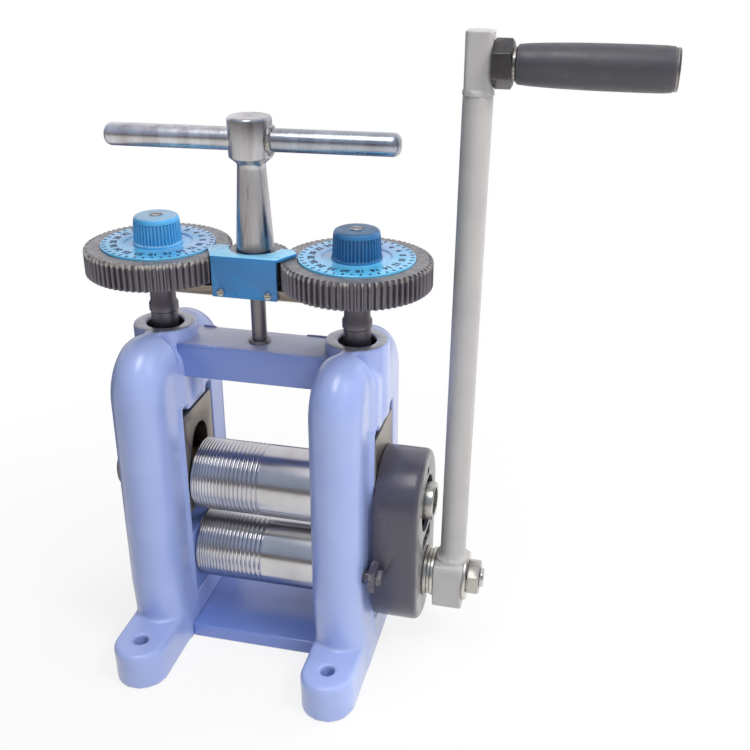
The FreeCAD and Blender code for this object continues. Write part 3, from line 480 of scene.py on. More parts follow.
def polished_tube():
    """Plated handle: drawn lengthways, with brown and dark runs, small pits, and a darker, bluer painted
    reflection on the right.
    """
    f = Finish("handle_chrome", 1.0, 0.24)
    runs = f.noise(60.0, 4.0, 0.6, (1.0, 1.0, 0.07))
    tone = f.blend(f.between(runs, 0.35, 0.62), srgb(176, 170, 168), srgb(222, 222, 226))
    # painted reflection: the right of the bar darker and bluer
    tone = f.blend(f.between(f.along(0), 0.0, 0.03, 0.0, 0.55), tone, srgb(150, 160, 176))
    streaks = f.between(f.noise(240.0, 5.0, 0.75, (1.0, 1.0, 0.05)), 0.58, 0.72, 0.0, 0.42)
    tone = f.blend(streaks, tone, srgb(84, 70, 62))
    pits = f.between(f.noise(520.0, 4.0, 0.7, (1.0, 1.0, 0.4)), 0.64, 0.72, 0.0, 0.3)
    f.colour(f.blend(pits, tone, srgb(66, 56, 52)))
    f.rough(f.between(runs, 0.3, 0.7, 0.2, 0.34))
    f.relief((streaks, 0.12, -0.06), (f.noise(300.0, 3.0), 0.08, 0.05))
    return f.mat


def roll_finish():
    """Ground and polished roll: fine rings from the grinder, a few hair marks and painted shade in the
    grooves.
    """
    f = Finish("roll_steel", 1.0, 0.17)
    rings = f.noise(1400.0, 2.0, 0.5, (1.0, 0.02, 0.02))
    stain = f.noise(30.0, 4.0, 0.55, (1.0, 0.5, 0.5))
    tone = f.blend(f.between(stain, 0.35, 0.7), srgb(206, 205, 206), srgb(190, 188, 190))
    tone = f.blend(f.between(f.noise(170.0, 5.0, 0.7, (2.5, 1.0, 1.0)), 0.62, 0.72, 0.0, 0.35), tone,
                   srgb(150, 148, 150))
    # painted shade in the grooves and other hollows
    tone = f.dirt(tone, srgb(92, 86, 88), 0.45)
    f.colour(tone)
    f.rough(f.between(stain, 0.3, 0.7, 0.14, 0.24))
    f.relief((rings, 0.05, 0.03))
    return f.mat


def make_finishes():
    """One finish for each material slot of the record."""
    return {
        "frame_enamel": deep_enamel(),
        "cover_enamel": case_paint(),
        "crank_enamel": enamel("crank_enamel", srgb(176, 175, 176), srgb(186, 184, 183),
                               srgb(152, 150, 152), 0.4, 0.25, 0.3, 0.6).mat,
        "bracket_blue": bracket_paint(),
        "bronze": bare_steel("bronze", srgb(178, 150, 112), srgb(150, 120, 86), 0.38, (1, 6, 6)),
        "block_steel": bare_steel("block_steel", srgb(152, 144, 136), srgb(118, 110, 104), 0.42,
                                  (1, 1, 12), srgb(196, 188, 178)),
        "fastener_zinc": bare_steel("fastener_zinc", srgb(200, 199, 192), srgb(168, 165, 158), 0.3,
                                    (1, 4, 4), srgb(226, 224, 216)),
        "spring_steel": bare_steel("spring_steel", srgb(150, 150, 152), srgb(110, 110, 112), 0.3, (1, 1, 8)),
        "roll_steel": roll_finish(),
        "gear_steel": bare_steel("gear_steel", srgb(126, 122, 118), srgb(98, 94, 92), 0.42, (1, 5, 5),
                                 srgb(176, 172, 164)),
        "grip_steel": bare_steel("grip_steel", srgb(112, 110, 110), srgb(80, 77, 78), 0.32, (1, 5, 5),
                                 srgb(190, 184, 176)),
        "strip_steel": bare_steel("strip_steel", srgb(150, 140, 130), srgb(122, 112, 103), 0.38, (1, 9, 9),
                                  srgb(200, 192, 182)),
        "handle_chrome": polished_tube(),
        "black_steel": oxide_black(),
        "dial_blue": dial_enamel("dial_blue", srgb(66, 165, 214), srgb(90, 182, 226)),
        "grip_plastic": grip_plastic(),
    }


def oxide_black():
    """Blackened gear steel: grey flanks, upward faces paler as rubbed steel and painted light, painted shade
    in the tooth gaps and painted highlights on the tooth ends only.
    """
    f = Finish("black_steel", 0.75, 0.44)
    stain = f.noise(70.0, 5.0, 0.65)
    side = f.blend(f.between(stain, 0.35, 0.7), srgb(112, 108, 118), srgb(134, 129, 134))
    # upward faces paler: rubbed steel and painted light
    wear_and_light = f.mottled(srgb(160, 158, 160), srgb(128, 126, 128), 180.0, 4.0)
    up = f.between(f.facing(2), 0.5, 0.9)
    tone = f.blend(up, side, wear_and_light)
    # painted shade in the tooth gaps
    tone = f.dirt(tone, srgb(60, 56, 60), 0.35)
    # painted highlights on the tooth ends
    ends = f.both(f.between(f.along(2), 0.3138, 0.3152), f.math("SUBTRACT", 1.0, up))
    nick_highlights = f.both(f.edges(0.53, 0.58), f.between(f.noise(330.0, 3.0, 0.6), 0.36, 0.5))
    f.colour(f.blend(f.both(nick_highlights, ends), tone, srgb(206, 202, 196)))
    f.rough(f.between(stain, 0.3, 0.7, 0.36, 0.52))
    f.relief((f.noise(500.0, 3.0), 0.15, 0.05))
    return f.mat


def shaft_black():
    """Oiled dark screw steel with faint turning lines."""
    return bare_steel("shaft_black", srgb(128, 123, 130), srgb(104, 100, 108), 0.38, (0.2, 0.2, 8),
                      srgb(150, 145, 144), metallic=0.85)


def dial_enamel(name, base, light, scuff=0.5):
    """Blue lacquer with light scuffs; the right dial is painted paler as light, a painted reflection lies in
    lavender patches towards the back, with painted shade in the hollows and painted highlights on the edges.
    """
    f = Finish(name, 0.15, 0.32, coat_weight=0.6, coat_roughness=0.14)
    tone = f.mottled(base, light, 40.0, 4.0)
    # painted light: the right dial paler
    tone = f.blend(f.between(f.along(0), -0.01, 0.01, 0.0, 0.5), tone, shade(light, 1.4))
    # painted reflection: paler lavender patches towards the back
    rear = f.between(f.along(1), -0.026, 0.004, 0.12, 0.85)
    patchy_share = f.both(f.between(f.noise(36.0, 5.0, 0.6), 0.34, 0.58), rear)
    tone = f.blend(patchy_share, tone, srgb(150, 178, 224))
    scuffs = f.between(f.noise(300.0, 5.0, 0.7), 0.56, 0.72, 0.0, scuff)
    tone = f.blend(scuffs, tone, shade(base, 0.62))
    # painted shade in the hollows
    tone = f.dirt(tone, shade(base, 0.35), 0.7)
    # painted highlight on the edges
    tone = f.blend(f.edges(0.54, 0.62), tone, shade(light, 1.25, 0.04))
    f.colour(tone)
    f.rough(f.between(f.noise(120.0, 4.0), 0.3, 0.7, 0.26, 0.42))
    f.relief((f.noise(300.0, 3.0), 0.12, 0.06))
    return f.mat


def knob_lacquer():
    """Knob lacquer; the left knob is painted lighter and the right darker as light and shade, with painted
    shade in the flutes, painted highlights on the ridges and the crown painted pale on the left and dark on
    the right.
    """
    f = Finish("knob_lacquer", 0.1, 0.38, coat_weight=0.2, coat_roughness=0.3)
    right = f.between(f.along(0), -0.01, 0.01)
    # painted light and shade: the left knob lit, the right knob shaded
    left_knob_lit_tone = f.mottled(srgb(76, 164, 222), srgb(92, 178, 230), 50.0, 4.0)
    right_knob_shaded_tone = f.mottled(srgb(46, 106, 158), srgb(56, 118, 170), 50.0, 4.0)
    tone = f.blend(right, left_knob_lit_tone, right_knob_shaded_tone)
    # painted shade in the flutes
    tone = f.dirt(tone, f.blend(right, srgb(44, 112, 168), srgb(24, 62, 112)), 0.7, 0.8)
    height = f.along(2)
    fluted = f.both(f.between(height, 0.3196, 0.3204), f.between(height, 0.3338, 0.3344, 1.0, 0.0))
    # painted highlight on the flute ridges, brighter on the left knob
    ridge_highlight = f.blend(right, srgb(176, 222, 242), srgb(88, 146, 186))
    tone = f.blend(f.both(f.edges(0.51, 0.55), fluted), tone, ridge_highlight)
    # crown: painted light in patches on the left knob, painted shade on the right knob
    crown = f.between(f.facing(2), 0.6, 0.97)
    patchy_share = f.between(f.noise(110.0, 4.0, 0.6), 0.3, 0.7, 0.35, 0.75)
    pale = f.blend(right, srgb(158, 174, 184), srgb(30, 50, 70))
    f.colour(f.blend(f.both(crown, patchy_share), tone, pale))
    f.rough(f.between(f.noise(120.0, 4.0), 0.3, 0.7, 0.3, 0.46))
    f.relief((f.noise(300.0, 3.0), 0.15, 0.08))
    return f.mat


def case_paint():
    """Dark grey case; the outer face is painted paler in patches as a reflection, with the painted
    highlights and shade of the enamel.
    """
    f = enamel("cover_enamel", srgb(66, 64, 77), srgb(76, 74, 87), srgb(50, 48, 61), 0.3, 0.4, 0.2, 0.5)
    paint = f.paint()
    # painted reflection: the outer face paler
    reflection_tone = f.mottled(srgb(108, 106, 110), srgb(142, 140, 142), 120.0, 5.0, 0.65, low=0.35, high=0.68)
    outer = f.both(f.between(f.facing(0), 0.55, 0.95), f.between(f.along(0), 0.1262, 0.1280))
    f.colour(f.blend(outer, paint, reflection_tone))
    return f.mat


def bracket_paint():
    """Blue bracket: deep on its upright faces, with painted light in pale patches where light catches the
    top.
    """
    f = enamel("bracket_blue", srgb(36, 114, 178), srgb(42, 124, 186), srgb(26, 96, 158),
               0.3, 0.5, 0.08, 0.3)
    paint = f.paint()
    top_light_patches = f.between(f.noise(90.0, 4.0, 0.6), 0.3, 0.7, 0.7, 1.0)
    # painted light: the top paler in patches
    f.colour(f.blend(f.both(f.between(f.facing(2), 0.6, 0.95), top_light_patches), paint, srgb(128, 198, 232)))
    return f.mat


def grip_plastic():
    """Dark moulded grip with a fine matt grain and handling marks."""
    f = Finish("grip_plastic", 0.0, 0.4, specular_ior_level=0.6)
    tone = f.mottled(srgb(58, 57, 63), srgb(72, 71, 77), 36.0, 4.0, 0.6, (0.5, 1.0, 1.0))
    tone = f.blend(f.between(f.noise(140.0, 5.0, 0.7, (0.4, 1.0, 1.0)), 0.56, 0.74, 0.0, 0.5), tone,
                   srgb(100, 99, 102))
    # painted highlight: the edges lighter
    f.colour(f.blend(f.edges(0.53, 0.6), tone, srgb(140, 140, 142)))
    f.rough(f.between(f.noise(140.0, 3.0), 0.3, 0.7, 0.34, 0.5))
    f.relief((f.noise(1100.0, 2.0), 0.2, 0.05), (f.noise(60.0, 3.0), 0.12, 0.1))
    return f.mat


def dial_ink():
    """Stamped and inked marks."""
    f = Finish("dial_ink", 0.0, 0.45)
    f.colour(f.mottled(srgb(16, 32, 62), srgb(30, 52, 88), 300.0, 3.0))
    return f.mat


def screw_head_steel():
    """Plain steel screw, tarnished, with painted shade in its slot and its other hollows."""
    return bare_steel("screw_head_steel", srgb(172, 178, 182), srgb(126, 134, 140), 0.4, (3, 3, 1),
                      srgb(206, 206, 202))


FINISHES = make_finishes()
CASTING = casting_enamel()
INK = dial_ink()
KNOB = knob_lacquer()
SHAFT = shaft_black()
SCREW_HEAD = screw_head_steel()
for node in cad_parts.values():
    for place in node.material_slots:
        key = place.material.name.split(".")[0]
        if key in FINISHES:
            place.material = FINISHES[key]


def dress(obj, body, slot, replaced=(), material=None):
    """Gives a piece its finish, chosen by its slot unless a material is given, puts it on its body and hides
    the CAD nodes that it stands for.
    """
    obj.data.materials.clear()
    obj.data.materials.append(material or FINISHES[slot])
    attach(obj, body)
    if replaced:
        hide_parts(*replaced)
    return obj


def finished_copy(name, node, body, slot, edge, segments=2, angle=28.0, material=None):
    """CAD node with broken edges and a finish of its own."""
    obj = fair_copy(name, node)
    soften(obj, edge, segments, angle)
    smooth(obj)
    return dress(obj, body, slot, [node], material)


# ---------------------------------------------------------------- cast frame

def front_dome(x):
    """Full rounded shoulder over the front post, close up against the boss."""
    hoop_y, hoop_z, sweep, half, front = -25.4, 214.4, 21.8, 20.8, -47.2
    clear_selection()
    bpy.ops.mesh.primitive_torus_add(major_radius=sweep * MM, minor_radius=half * MM,
                                     major_segments=96, minor_segments=64)
    hoop = bpy.context.object
    settle(hoop, (x, hoop_y, hoop_z), "X")
    corner = block("corner", (x - 30.0, hoop_y - 60.0, hoop_z), (x + 30.0, hoop_y, 270.0))
    cut_with(hoop, corner, "INTERSECT")
    core = turned("core", [(sweep, -half), (sweep, half)], (x, hoop_y, hoop_z), "X")
    corner = block("corner", (x - 30.0, -60.0, 205.0), (x + 30.0, hoop_y, 270.0))
    cut_with(core, corner, "INTERSECT")
    nose = turned("nose", [(half, 150.0), (half, hoop_z + 0.3)], (x, front, 0))
    back = block("back", (x - half, front, 150.0), (x + half, -28.4, hoop_z + 0.3))
    return [hoop, core, nose, back]


def side_casting(side):
    """Arched casting with soft foundry edges; its front post leans a little to the left."""
    sign = -1.0 if side == "left" else 1.0
    x = sign * SCREW_X
    obj = fair_copy(side + "_casting", side + "_side_frame")
    obj = join(obj.name, [obj] + front_dome(x))
    skin(obj, 1.4, 6)

    def lean(px, py, pz):
        share = ramp(-py, 28.6, 33.0) if pz < 199.0 else ramp(-py, 20.0, 34.0)
        wide = 2.4 if sign < 0 else 2.1 + 2.0 * ramp(px, 53.0, 95.0)
        return share * ramp(pz, 14.0, 60.0) * wide / 4.1
    nudge(obj, "X", -4.1, lean)
    smooth(obj, 60.0)
    return dress(obj, "frame", "frame_enamel", [side + "_side_frame"], CASTING)


def crossbar_casting():
    """Square bar let into both castings, with a run of weld along each end."""
    low, high = 221.5, 248.0
    obj = block("crossbar_casting", (-58.0, -19.0, low), (58.0, 19.0, high))
    soften(obj, 1.5, 3)
    cut_with(obj, turned("shaft_hole", [(7.2, low - 6.5), (7.2, high + 7.0)]))
    runs = []
    for start, end, y in ((-56.0, -27.0, -18.3), (30.0, 52.0, 18.3), (-52.0, -40.0, 18.3)):
        profile = [(0.4, start), (1.3, start + 1.5), (1.5, (start + end) / 2), (1.2, end - 2.0), (0.4, end)]
        runs.append(turned("run", profile, (0, y, 247.4), "X", 24))
    obj = join("crossbar_casting", [obj] + runs)
    smooth(obj)
    return dress(obj, "frame", "frame_enamel", ["top_crossbar"])


for word in ("left", "right"):
    side_casting(word)
crossbar_casting()
finished_copy("base_casting", "base_plate", "frame", "frame_enamel", 1.4, 3)


# ---------------------------------------------------------------- gear case

def gear_case():
    obj = fair_copy("gear_case", "gear_cover")
    soften(obj, 0.9, 2, 40.0)
    smooth(obj)
    return dress(obj, "frame", "cover_enamel", ["gear_cover"])


def case_bolts():
    """Two chamfered hexagon heads on plain shanks, painted over with the case."""
    height, parts = 86.5, []
    for y in (-46.6, 46.6):
        parts.append(hexagon("head", 6.4, 4.5, (99.8, y, height), chamfer=(False, True), edge=0.35))
        parts.append(turned("shank", [(3.9, 81.0), (3.9, 100.2)], (0, y, height), "X", 32))
    obj = join("case_bolts", parts)
    return dress(obj, "frame", "cover_enamel", ["cover_bolts"])


gear_case()
case_bolts()


# ---------------------------------------------------------------- rolls and bearings

def roll_profile(left_end):
    """Roll body with rounded wire grooves, spaced out towards the middle."""
    points = [(14.0, left_end), (JOURNAL, left_end + 1.0), (JOURNAL, -52.8), (27.65, -52.8),
              (ROLL_RADIUS, -52.2)]
    wall = [(1.9, 0.0), (1.55, 0.05), (1.25, 0.16), (0.9, 0.42), (0.5, 0.8), (0.14, 1.0)]
    along = -50.0
    for index in range(GROOVES):
        step = 2.0 + 0.12 * index
        half = 0.38 + 0.024 * index
        deep = 0.5 + 0.02 * index
        points += [(ROLL_RADIUS - deep * low, along - half * aside) for aside, low in wall]
        points += [(ROLL_RADIUS - deep * low, along + half * aside) for aside, low in reversed(wall)]
        along += step
    points += [(ROLL_RADIUS, 52.2), (27.65, 52.8), (JOURNAL, 52.8)]
    return points


def upper_roll_piece():
    points = roll_profile(-118.3)
    points += [(JOURNAL, 97.5), (13.0, 97.5), (13.0, 123.0), (8.0, 123.0), (8.0, 129.0), (7.0, 130.0)]
    obj = turned("upper_roll_steel", points, (0, 0, UPPER_AXIS), "X", 128)
    smooth(obj, 35.0)
    return dress(obj, "driven_roll", "roll_steel", ["upper_roll"])


def lower_roll_piece():
    """Lower roll, whose shaft ends in the threaded stud for the crank nut."""
    points = roll_profile(-95.3)
    points += [(JOURNAL, 97.5), (13.0, 97.5), (13.0, 128.9), (11.0, 128.9), (11.0, 158.5), (8.0, 158.5)]
    along = 162.5
    while along < 173.0:
        points += [(8.0, along), (7.35, along + 0.6)]
        along += 1.2
    points += [(7.3, 173.6), (6.6, 174.5)]
    obj = turned("lower_roll_steel", points, (0, 0, LOWER_AXIS), "X", 128)
    smooth(obj, 22.0)
    return dress(obj, "drive_roll", "roll_steel", ["lower_roll"])


upper_roll_piece()
lower_roll_piece()
for word in ("left", "right"):
    low, high = word + "_lower_block", word + "_upper_block"
    # the lower blocks take the frame paint with its painted shade
    finished_copy(low + "_milled", low, "frame", "block_steel", 0.7, material=FINISHES["frame_enamel"])
    finished_copy(high + "_milled", high, "bearing_carriage", "block_steel", 0.7)


def end_collar():
    """Ring on the far end of the upper shaft, with a grub screw hole and a lip."""
    profile = [(15.05, -107.3), (17.2, -107.3), (17.8, -107.7), (18.0, -108.3), (18.0, -118.3),
               (17.8, -118.9), (17.2, -119.3), (15.05, -119.3)]
    obj = turned("end_collar", profile, (0, 0, UPPER_AXIS), "X", closed=True)
    cut_with(obj, turned("grub_hole", [(2.2, 10.0), (2.2, 30.0)], (-113.3, 0, UPPER_AXIS), "Z", 32))
    smooth(obj, 30.0)
    return dress(obj, "driven_roll", "gear_steel", ["upper_end_collar"])


def sleeve_nut():
    """Round nut that runs out into a hollow sleeve round the shaft end."""
    profile = [(8.05, 123.0), (14.4, 123.0), (14.4, 133.9), (13.8, 134.5), (11.2, 134.5), (10.6, 133.9),
               (10.6, 129.5), (8.05, 129.5)]
    obj = turned("sleeve_nut", profile, (0, 0, UPPER_AXIS), "X", closed=True)
    smooth(obj, 30.0)
    return dress(obj, "driven_roll", "gear_steel", ["upper_shaft_nut"], FINISHES["fastener_zinc"])


end_collar()
sleeve_nut()


# ---------------------------------------------------------------- crank

def spacer_rings():
    """Three loose steel rings between the gear case and the crank."""
    rings = []
    for index, radius in enumerate((19.5, 17.7, 18.9)):
        low = 128.9 + 2.7 * index
        high = low + 2.7
        profile = [(11.05, low + 0.1), (radius - 0.4, low + 0.1), (radius, low + 0.5), (radius, high - 0.5),
                   (radius - 0.4, high - 0.1), (11.05, high - 0.1)]
        rings.append(turned("ring", profile, (0, 0, LOWER_AXIS), "X", closed=True))
    obj = join("spacer_rings", rings)
    smooth(obj, 30.0)
    return dress(obj, "drive_roll", "strip_steel", ["crank_spacers"], FINISHES["fastener_zinc"])


def hub_block():
    """Crank hub with a wide weld run at the foot of the arm, all under one coat of paint."""
    obj = fair_copy("hub_block", "crank_hub")
    profile = [(13.2, 78.0), (12.6, 81.5), (11.2, 83.6), (10.3, 86.0), (9.9, 88.0)]
    foot = turned("foot", profile, (ARM_X, 0, 0))
    roughen(foot, 0.9, 2.6)
    run = bead("run", 10.9, 2.2, (ARM_X, 0, 82.3), lumps=1.4)
    obj = join("hub_block", [obj, foot, run])
    skin(obj, 0.7, 6)
    return dress(obj, "drive_roll", "crank_enamel", ["crank_hub"])


def arm_bar():
    """Round arm, drawn slightly uneven under its paint."""
    rings = [(9.7, 0.6 + 349.8 * i / 60) for i in range(61)]
    obj = turned("arm_bar", [(9.3, 0.0)] + rings + [(9.3, ARM_LENGTH)], sides=72)
    roughen(obj, 0.16, 22.0)
    smooth(obj, 50.0)
    choose(obj)
    lean = Matrix.Rotation(math.atan(ARM_LEAN / ARM_LENGTH), 4, "Y")
    obj.matrix_world = Matrix.Translation(Vector((ARM_X, 0, ARM_FOOT)) * MM) @ lean
    fix_place()
    return dress(obj, "drive_roll", "crank_enamel", ["crank_arm"])


def head_block():
    """Squared head at the top of the arm with an uneven weld under it."""
    obj = fair_copy("head_block", "crank_head")
    soften(obj, 1.0, 2, 50.0)
    seam = bead("seam", 9.4, 1.0, (152.9, 0, 431.9), lumps=1.6, size=3.4)
    collar = bead("collar", 8.9, 1.2, (152.9, 0, 433.4), lumps=1.8, size=5.0)
    obj = join("head_block", [obj, seam, collar])
    skin(obj, 0.6, 3)
    return dress(obj, "drive_roll", "crank_enamel", ["crank_head"])


def hub_fixings():
    """Washer and chamfered nut on the crank stud."""
    profile = [(8.1, 159.5), (18.4, 159.5), (19.0, 160.1), (19.0, 161.3), (18.3, 162.0), (8.1, 162.0)]
    washer = turned("hub_washer_turned", profile, (0, 0, LOWER_AXIS), "X", closed=True)
    smooth(washer, 30.0)
    dress(washer, "drive_roll", "fastener_zinc", ["hub_washer"])
    nut = hexagon("hub_nut_chamfered", 14.4, 9.5, (162.0, 0, LOWER_AXIS), 8.1, edge=0.3)
    dress(nut, "drive_roll", "fastener_zinc", ["hub_nut"])


def grip_pieces():
    """Nut, sleeve and end ring of the turning grip."""
    nut = hexagon("grip_nut_chamfered", 15.4, 12.4, (161.6, 0, GRIP_AXIS), 5.1, edge=0.35)
    dress(nut, "drive_roll", "grip_steel", ["grip_nut"])
    span = 94.4
    profile = [(5.1, 0.0), (11.0, 0.0), (11.8, 0.5), (12.1, 1.4)]
    profile += [(12.15 + 1.85 * math.sin(math.pi / 2 * (i / 12.0) ** 0.75), 1.4 + span * 0.62 * i / 12.0)
                for i in range(1, 13)]
    profile += [(14.0, span * 0.8), (13.85, span * 0.93), (13.5, span - 2.2), (13.0, span - 0.8),
                (12.3, span), (8.5, span), (8.5, span - 3.0), (5.1, span - 3.0)]
    sleeve = turned("grip_sleeve_moulded", profile, (GRIP_START, 0, GRIP_AXIS), "X", 128, closed=True)
    smooth(sleeve, 30.0)
    dress(sleeve, "grip_sleeve", "grip_plastic", ["grip"])
    profile = [(8.4, span), (12.9, span), (13.1, 95.0), (12.7, 95.9), (12.2, 96.4), (8.9, 96.4),
               (8.4, 96.0)]
    ring = turned("grip_end_ring", profile, (GRIP_START, 0, GRIP_AXIS), "X", closed=True)
    smooth(ring, 30.0)
    dress(ring, "grip_sleeve", "grip_steel", ["grip_ring"])


spacer_rings()
hub_block()
arm_bar()
head_block()
hub_fixings()
grip_pieces()


# ---------------------------------------------------------------- screw-down

def fluted_knob(side, x):
    """Tapered knob with upright flutes under a smooth band."""
    profile = [(17.9, -0.9), (17.9, 0.3), (17.2, 1.0), (16.5, 15.0), (16.35, 15.8), (16.2, 17.0),
               (15.9, 18.0), (15.2, 18.9), (14.0, 19.4), (12.4, 19.6)]
    obj = turned(side + "_knob_fluted", profile, (0, 0, 0), "Z", 200)
    open_mesh(obj)

    def in_flute(point):
        height = point.z / MM
        turn = math.degrees(math.atan2(point.y, point.x)) % (360.0 / FLUTES)
        radius = math.hypot(point.x, point.y) / MM
        return 0.9 < height < 15.3 and radius > 14.0 and 3.2 < turn < 8.2
    pick_points(obj, in_flute)
    bpy.ops.transform.resize(value=(0.93, 0.93, 1.0), center_override=(0, 0, 0.009))
    close_mesh()
    smooth(obj, 25.0)
    settle(obj, (x, 0, DIAL_TOP))
    return dress(obj, side + "_dial_set", "dial_blue", [side + "_knob"], KNOB)


def knob_screw_piece(side, x):
    """Flush slotted screw in the crown of the knob."""
    profile = [(3.0, 301.6), (3.0, 338.4), (4.7, 338.4), (4.7, 338.9), (4.2, 339.3)]
    obj = turned(side + "_crown_screw", profile, (x, 0, 0), "Z", 64)
    cut_with(obj, block("slot", (x - 6.0, -0.75, 338.5), (x + 6.0, 0.75, 340.5)))
    smooth(obj, 30.0)
    return dress(obj, side + "_dial_set", "fastener_zinc", [side + "_knob_screw"], SCREW_HEAD)


def dial_plate(side, x):
    """Lacquered disc let into the gear, with a turned edge and a step down round the knob."""
    profile = [(4.2, 315.7), (41.0, 315.7), (41.0, 318.5), (40.7, 318.85), (40.3, DIAL_TOP),
               (24.9, DIAL_TOP), (24.6, 318.8), (24.3, 318.1), (23.9, 317.9), (4.2, 317.9)]
    obj = turned(side + "_dial_plate", profile, (x, 0, 0), "Z", 128, closed=True)
    smooth(obj, 25.0)
    return dress(obj, side + "_dial_set", "dial_blue", [side + "_dial"])


def dial_marks(side, x):
    """Edge ticks and bold plain numbers, raised like thick print."""
    marks = []
    for index in range(STROKES):
        length = 2.6 if index % 2 else 3.2
        tick = block("tick", (-0.7, 40.1 - length, 0.0), (0.7, 40.1, 0.12))
        settle(tick, (0, 0, 0), "Z", -math.tau * index / STROKES)
        marks.append(tick)
    for index in range(0, STROKES, 2):
        clear_selection()
        bpy.ops.object.text_add()
        figure = bpy.context.object
        figure.data.body = str(index)
        figure.data.size = 6.6 * MM
        figure.data.offset = 0.26 * MM
        figure.data.align_x = "CENTER"
        figure.data.extrude = 0.05 * MM
        figure.data.resolution_u = 4
        bpy.ops.object.convert(target="MESH")
        figure = bpy.context.object
        settle(figure, (0, 29.6, 0.05))
        settle(figure, (0, 0, 0), "Z", -math.tau * index / STROKES)
        marks.append(figure)
    obj = join(side + "_dial_marks", marks)
    settle(obj, (x, 0, DIAL_TOP))
    return dress(obj, side + "_dial_set", "dial_blue", (), INK)


def gear_limits(gear, x):
    """Bottom, top and tip radius of a toothed wheel standing at X, in millimetres."""
    points = [point.co / MM for point in gear.data.vertices]
    heights = [point.z for point in points]
    return min(heights), max(heights), max(math.hypot(point.x - x, point.y) for point in points)


def gear_and_screw(side, x):
    """Toothed wheel with broken edges, and its screw with the collar under the strip."""
    gear = fair_copy(side + "_screw_gear_cut", side + "_screw_gear")
    low, high, rim = gear_limits(gear, x)
    guard = [(rim - 1.7, low), (rim, low + 1.3), (rim, high - 1.5), (rim - 0.6, high - 0.6),
             (rim - 1.7, high)]
    cut_with(gear, turned("guard", guard, (x, 0, 0), "Z", 140), "INTERSECT")
    soften(gear, 0.22, 1)
    smooth(gear)
    dress(gear, side + "_adjuster", "black_steel", [side + "_screw_gear"])
    profile = [(6.9, 191.1), (9.9, 194.1)]
    profile += [(9.9 if i % 2 else 9.45, 196.0 + 1.25 * i) for i in range(35)]
    profile += [(9.93, 241.0), (9.93, 266.1), (10.8, 267.0), (10.8, 272.0), (9.4, 274.6), (9.4, 290.1),
                (9.0, 290.1), (9.0, 297.9), (8.0, 297.9), (8.0, 315.6)]
    obj = turned(side + "_screw_turned", profile, (x, 0, 0), "Z", 96)
    smooth(obj, 30.0)
    dress(obj, side + "_adjuster", "black_steel", [side + "_screw"], SHAFT)


for word, sign in (("left", -1), ("right", 1)):
    fluted_knob(word, sign * SCREW_X)
    knob_screw_piece(word, sign * SCREW_X)
    dial_plate(word, sign * SCREW_X)
    dial_marks(word, sign * SCREW_X)
    gear_and_screw(word, sign * SCREW_X)


def centre_pieces():
    """Pinion, its shaft, the strip that carries the train and the sheet bracket over it."""
    finished_copy("pinion_cut", "centre_pinion", "tee_handle", "black_steel", 0.22, 1)
    finished_copy("carrier_strip", "carrier_bar", "screw_carriage", "strip_steel", 0.5)
    finished_copy("sheet_bracket", "gear_bracket", "screw_carriage", "bracket_blue", 0.45)
    obj = turned("shaft_turned", [(4.5, 233.0), (5.5, 234.0), (5.5, 361.8), (5.0, 362.3)], sides=64)
    smooth(obj, 30.0)
    dress(obj, "tee_handle", "black_steel", ["centre_shaft"], SHAFT)
    profile = [(5.6, 221.5), (7.2, 221.5), (7.2, 248.0), (8.3, 248.0), (8.4, 248.5), (7.6, 250.0),
               (6.6, 250.2), (5.6, 250.2)]
    collar = turned("shaft_collar", profile, sides=64, closed=True)
    smooth(collar, 30.0)
    dress(collar, "frame", "frame_enamel", ["shaft_bush"], SHAFT)


def bracket_screw_piece():
    """Pair of round slotted screws along the foot of the bracket."""
    profile = [(1.75, -16.0), (1.75, -26.5), (2.7, -26.5), (2.75, -27.6), (2.4, -28.2), (1.6, -28.5)]
    parts = []
    for x in (-17.3, 17.3):
        screw = turned("screw", profile, (x, 0, 294.0), "Y", 48)
        cut_with(screw, block("slot", (x - 5.0, -30.0, 293.6), (x + 5.0, -27.5, 294.4)))
        parts.append(screw)
    obj = join("slotted_screws", parts)
    smooth(obj, 30.0)
    return dress(obj, "screw_carriage", "fastener_zinc", ["bracket_screws"])


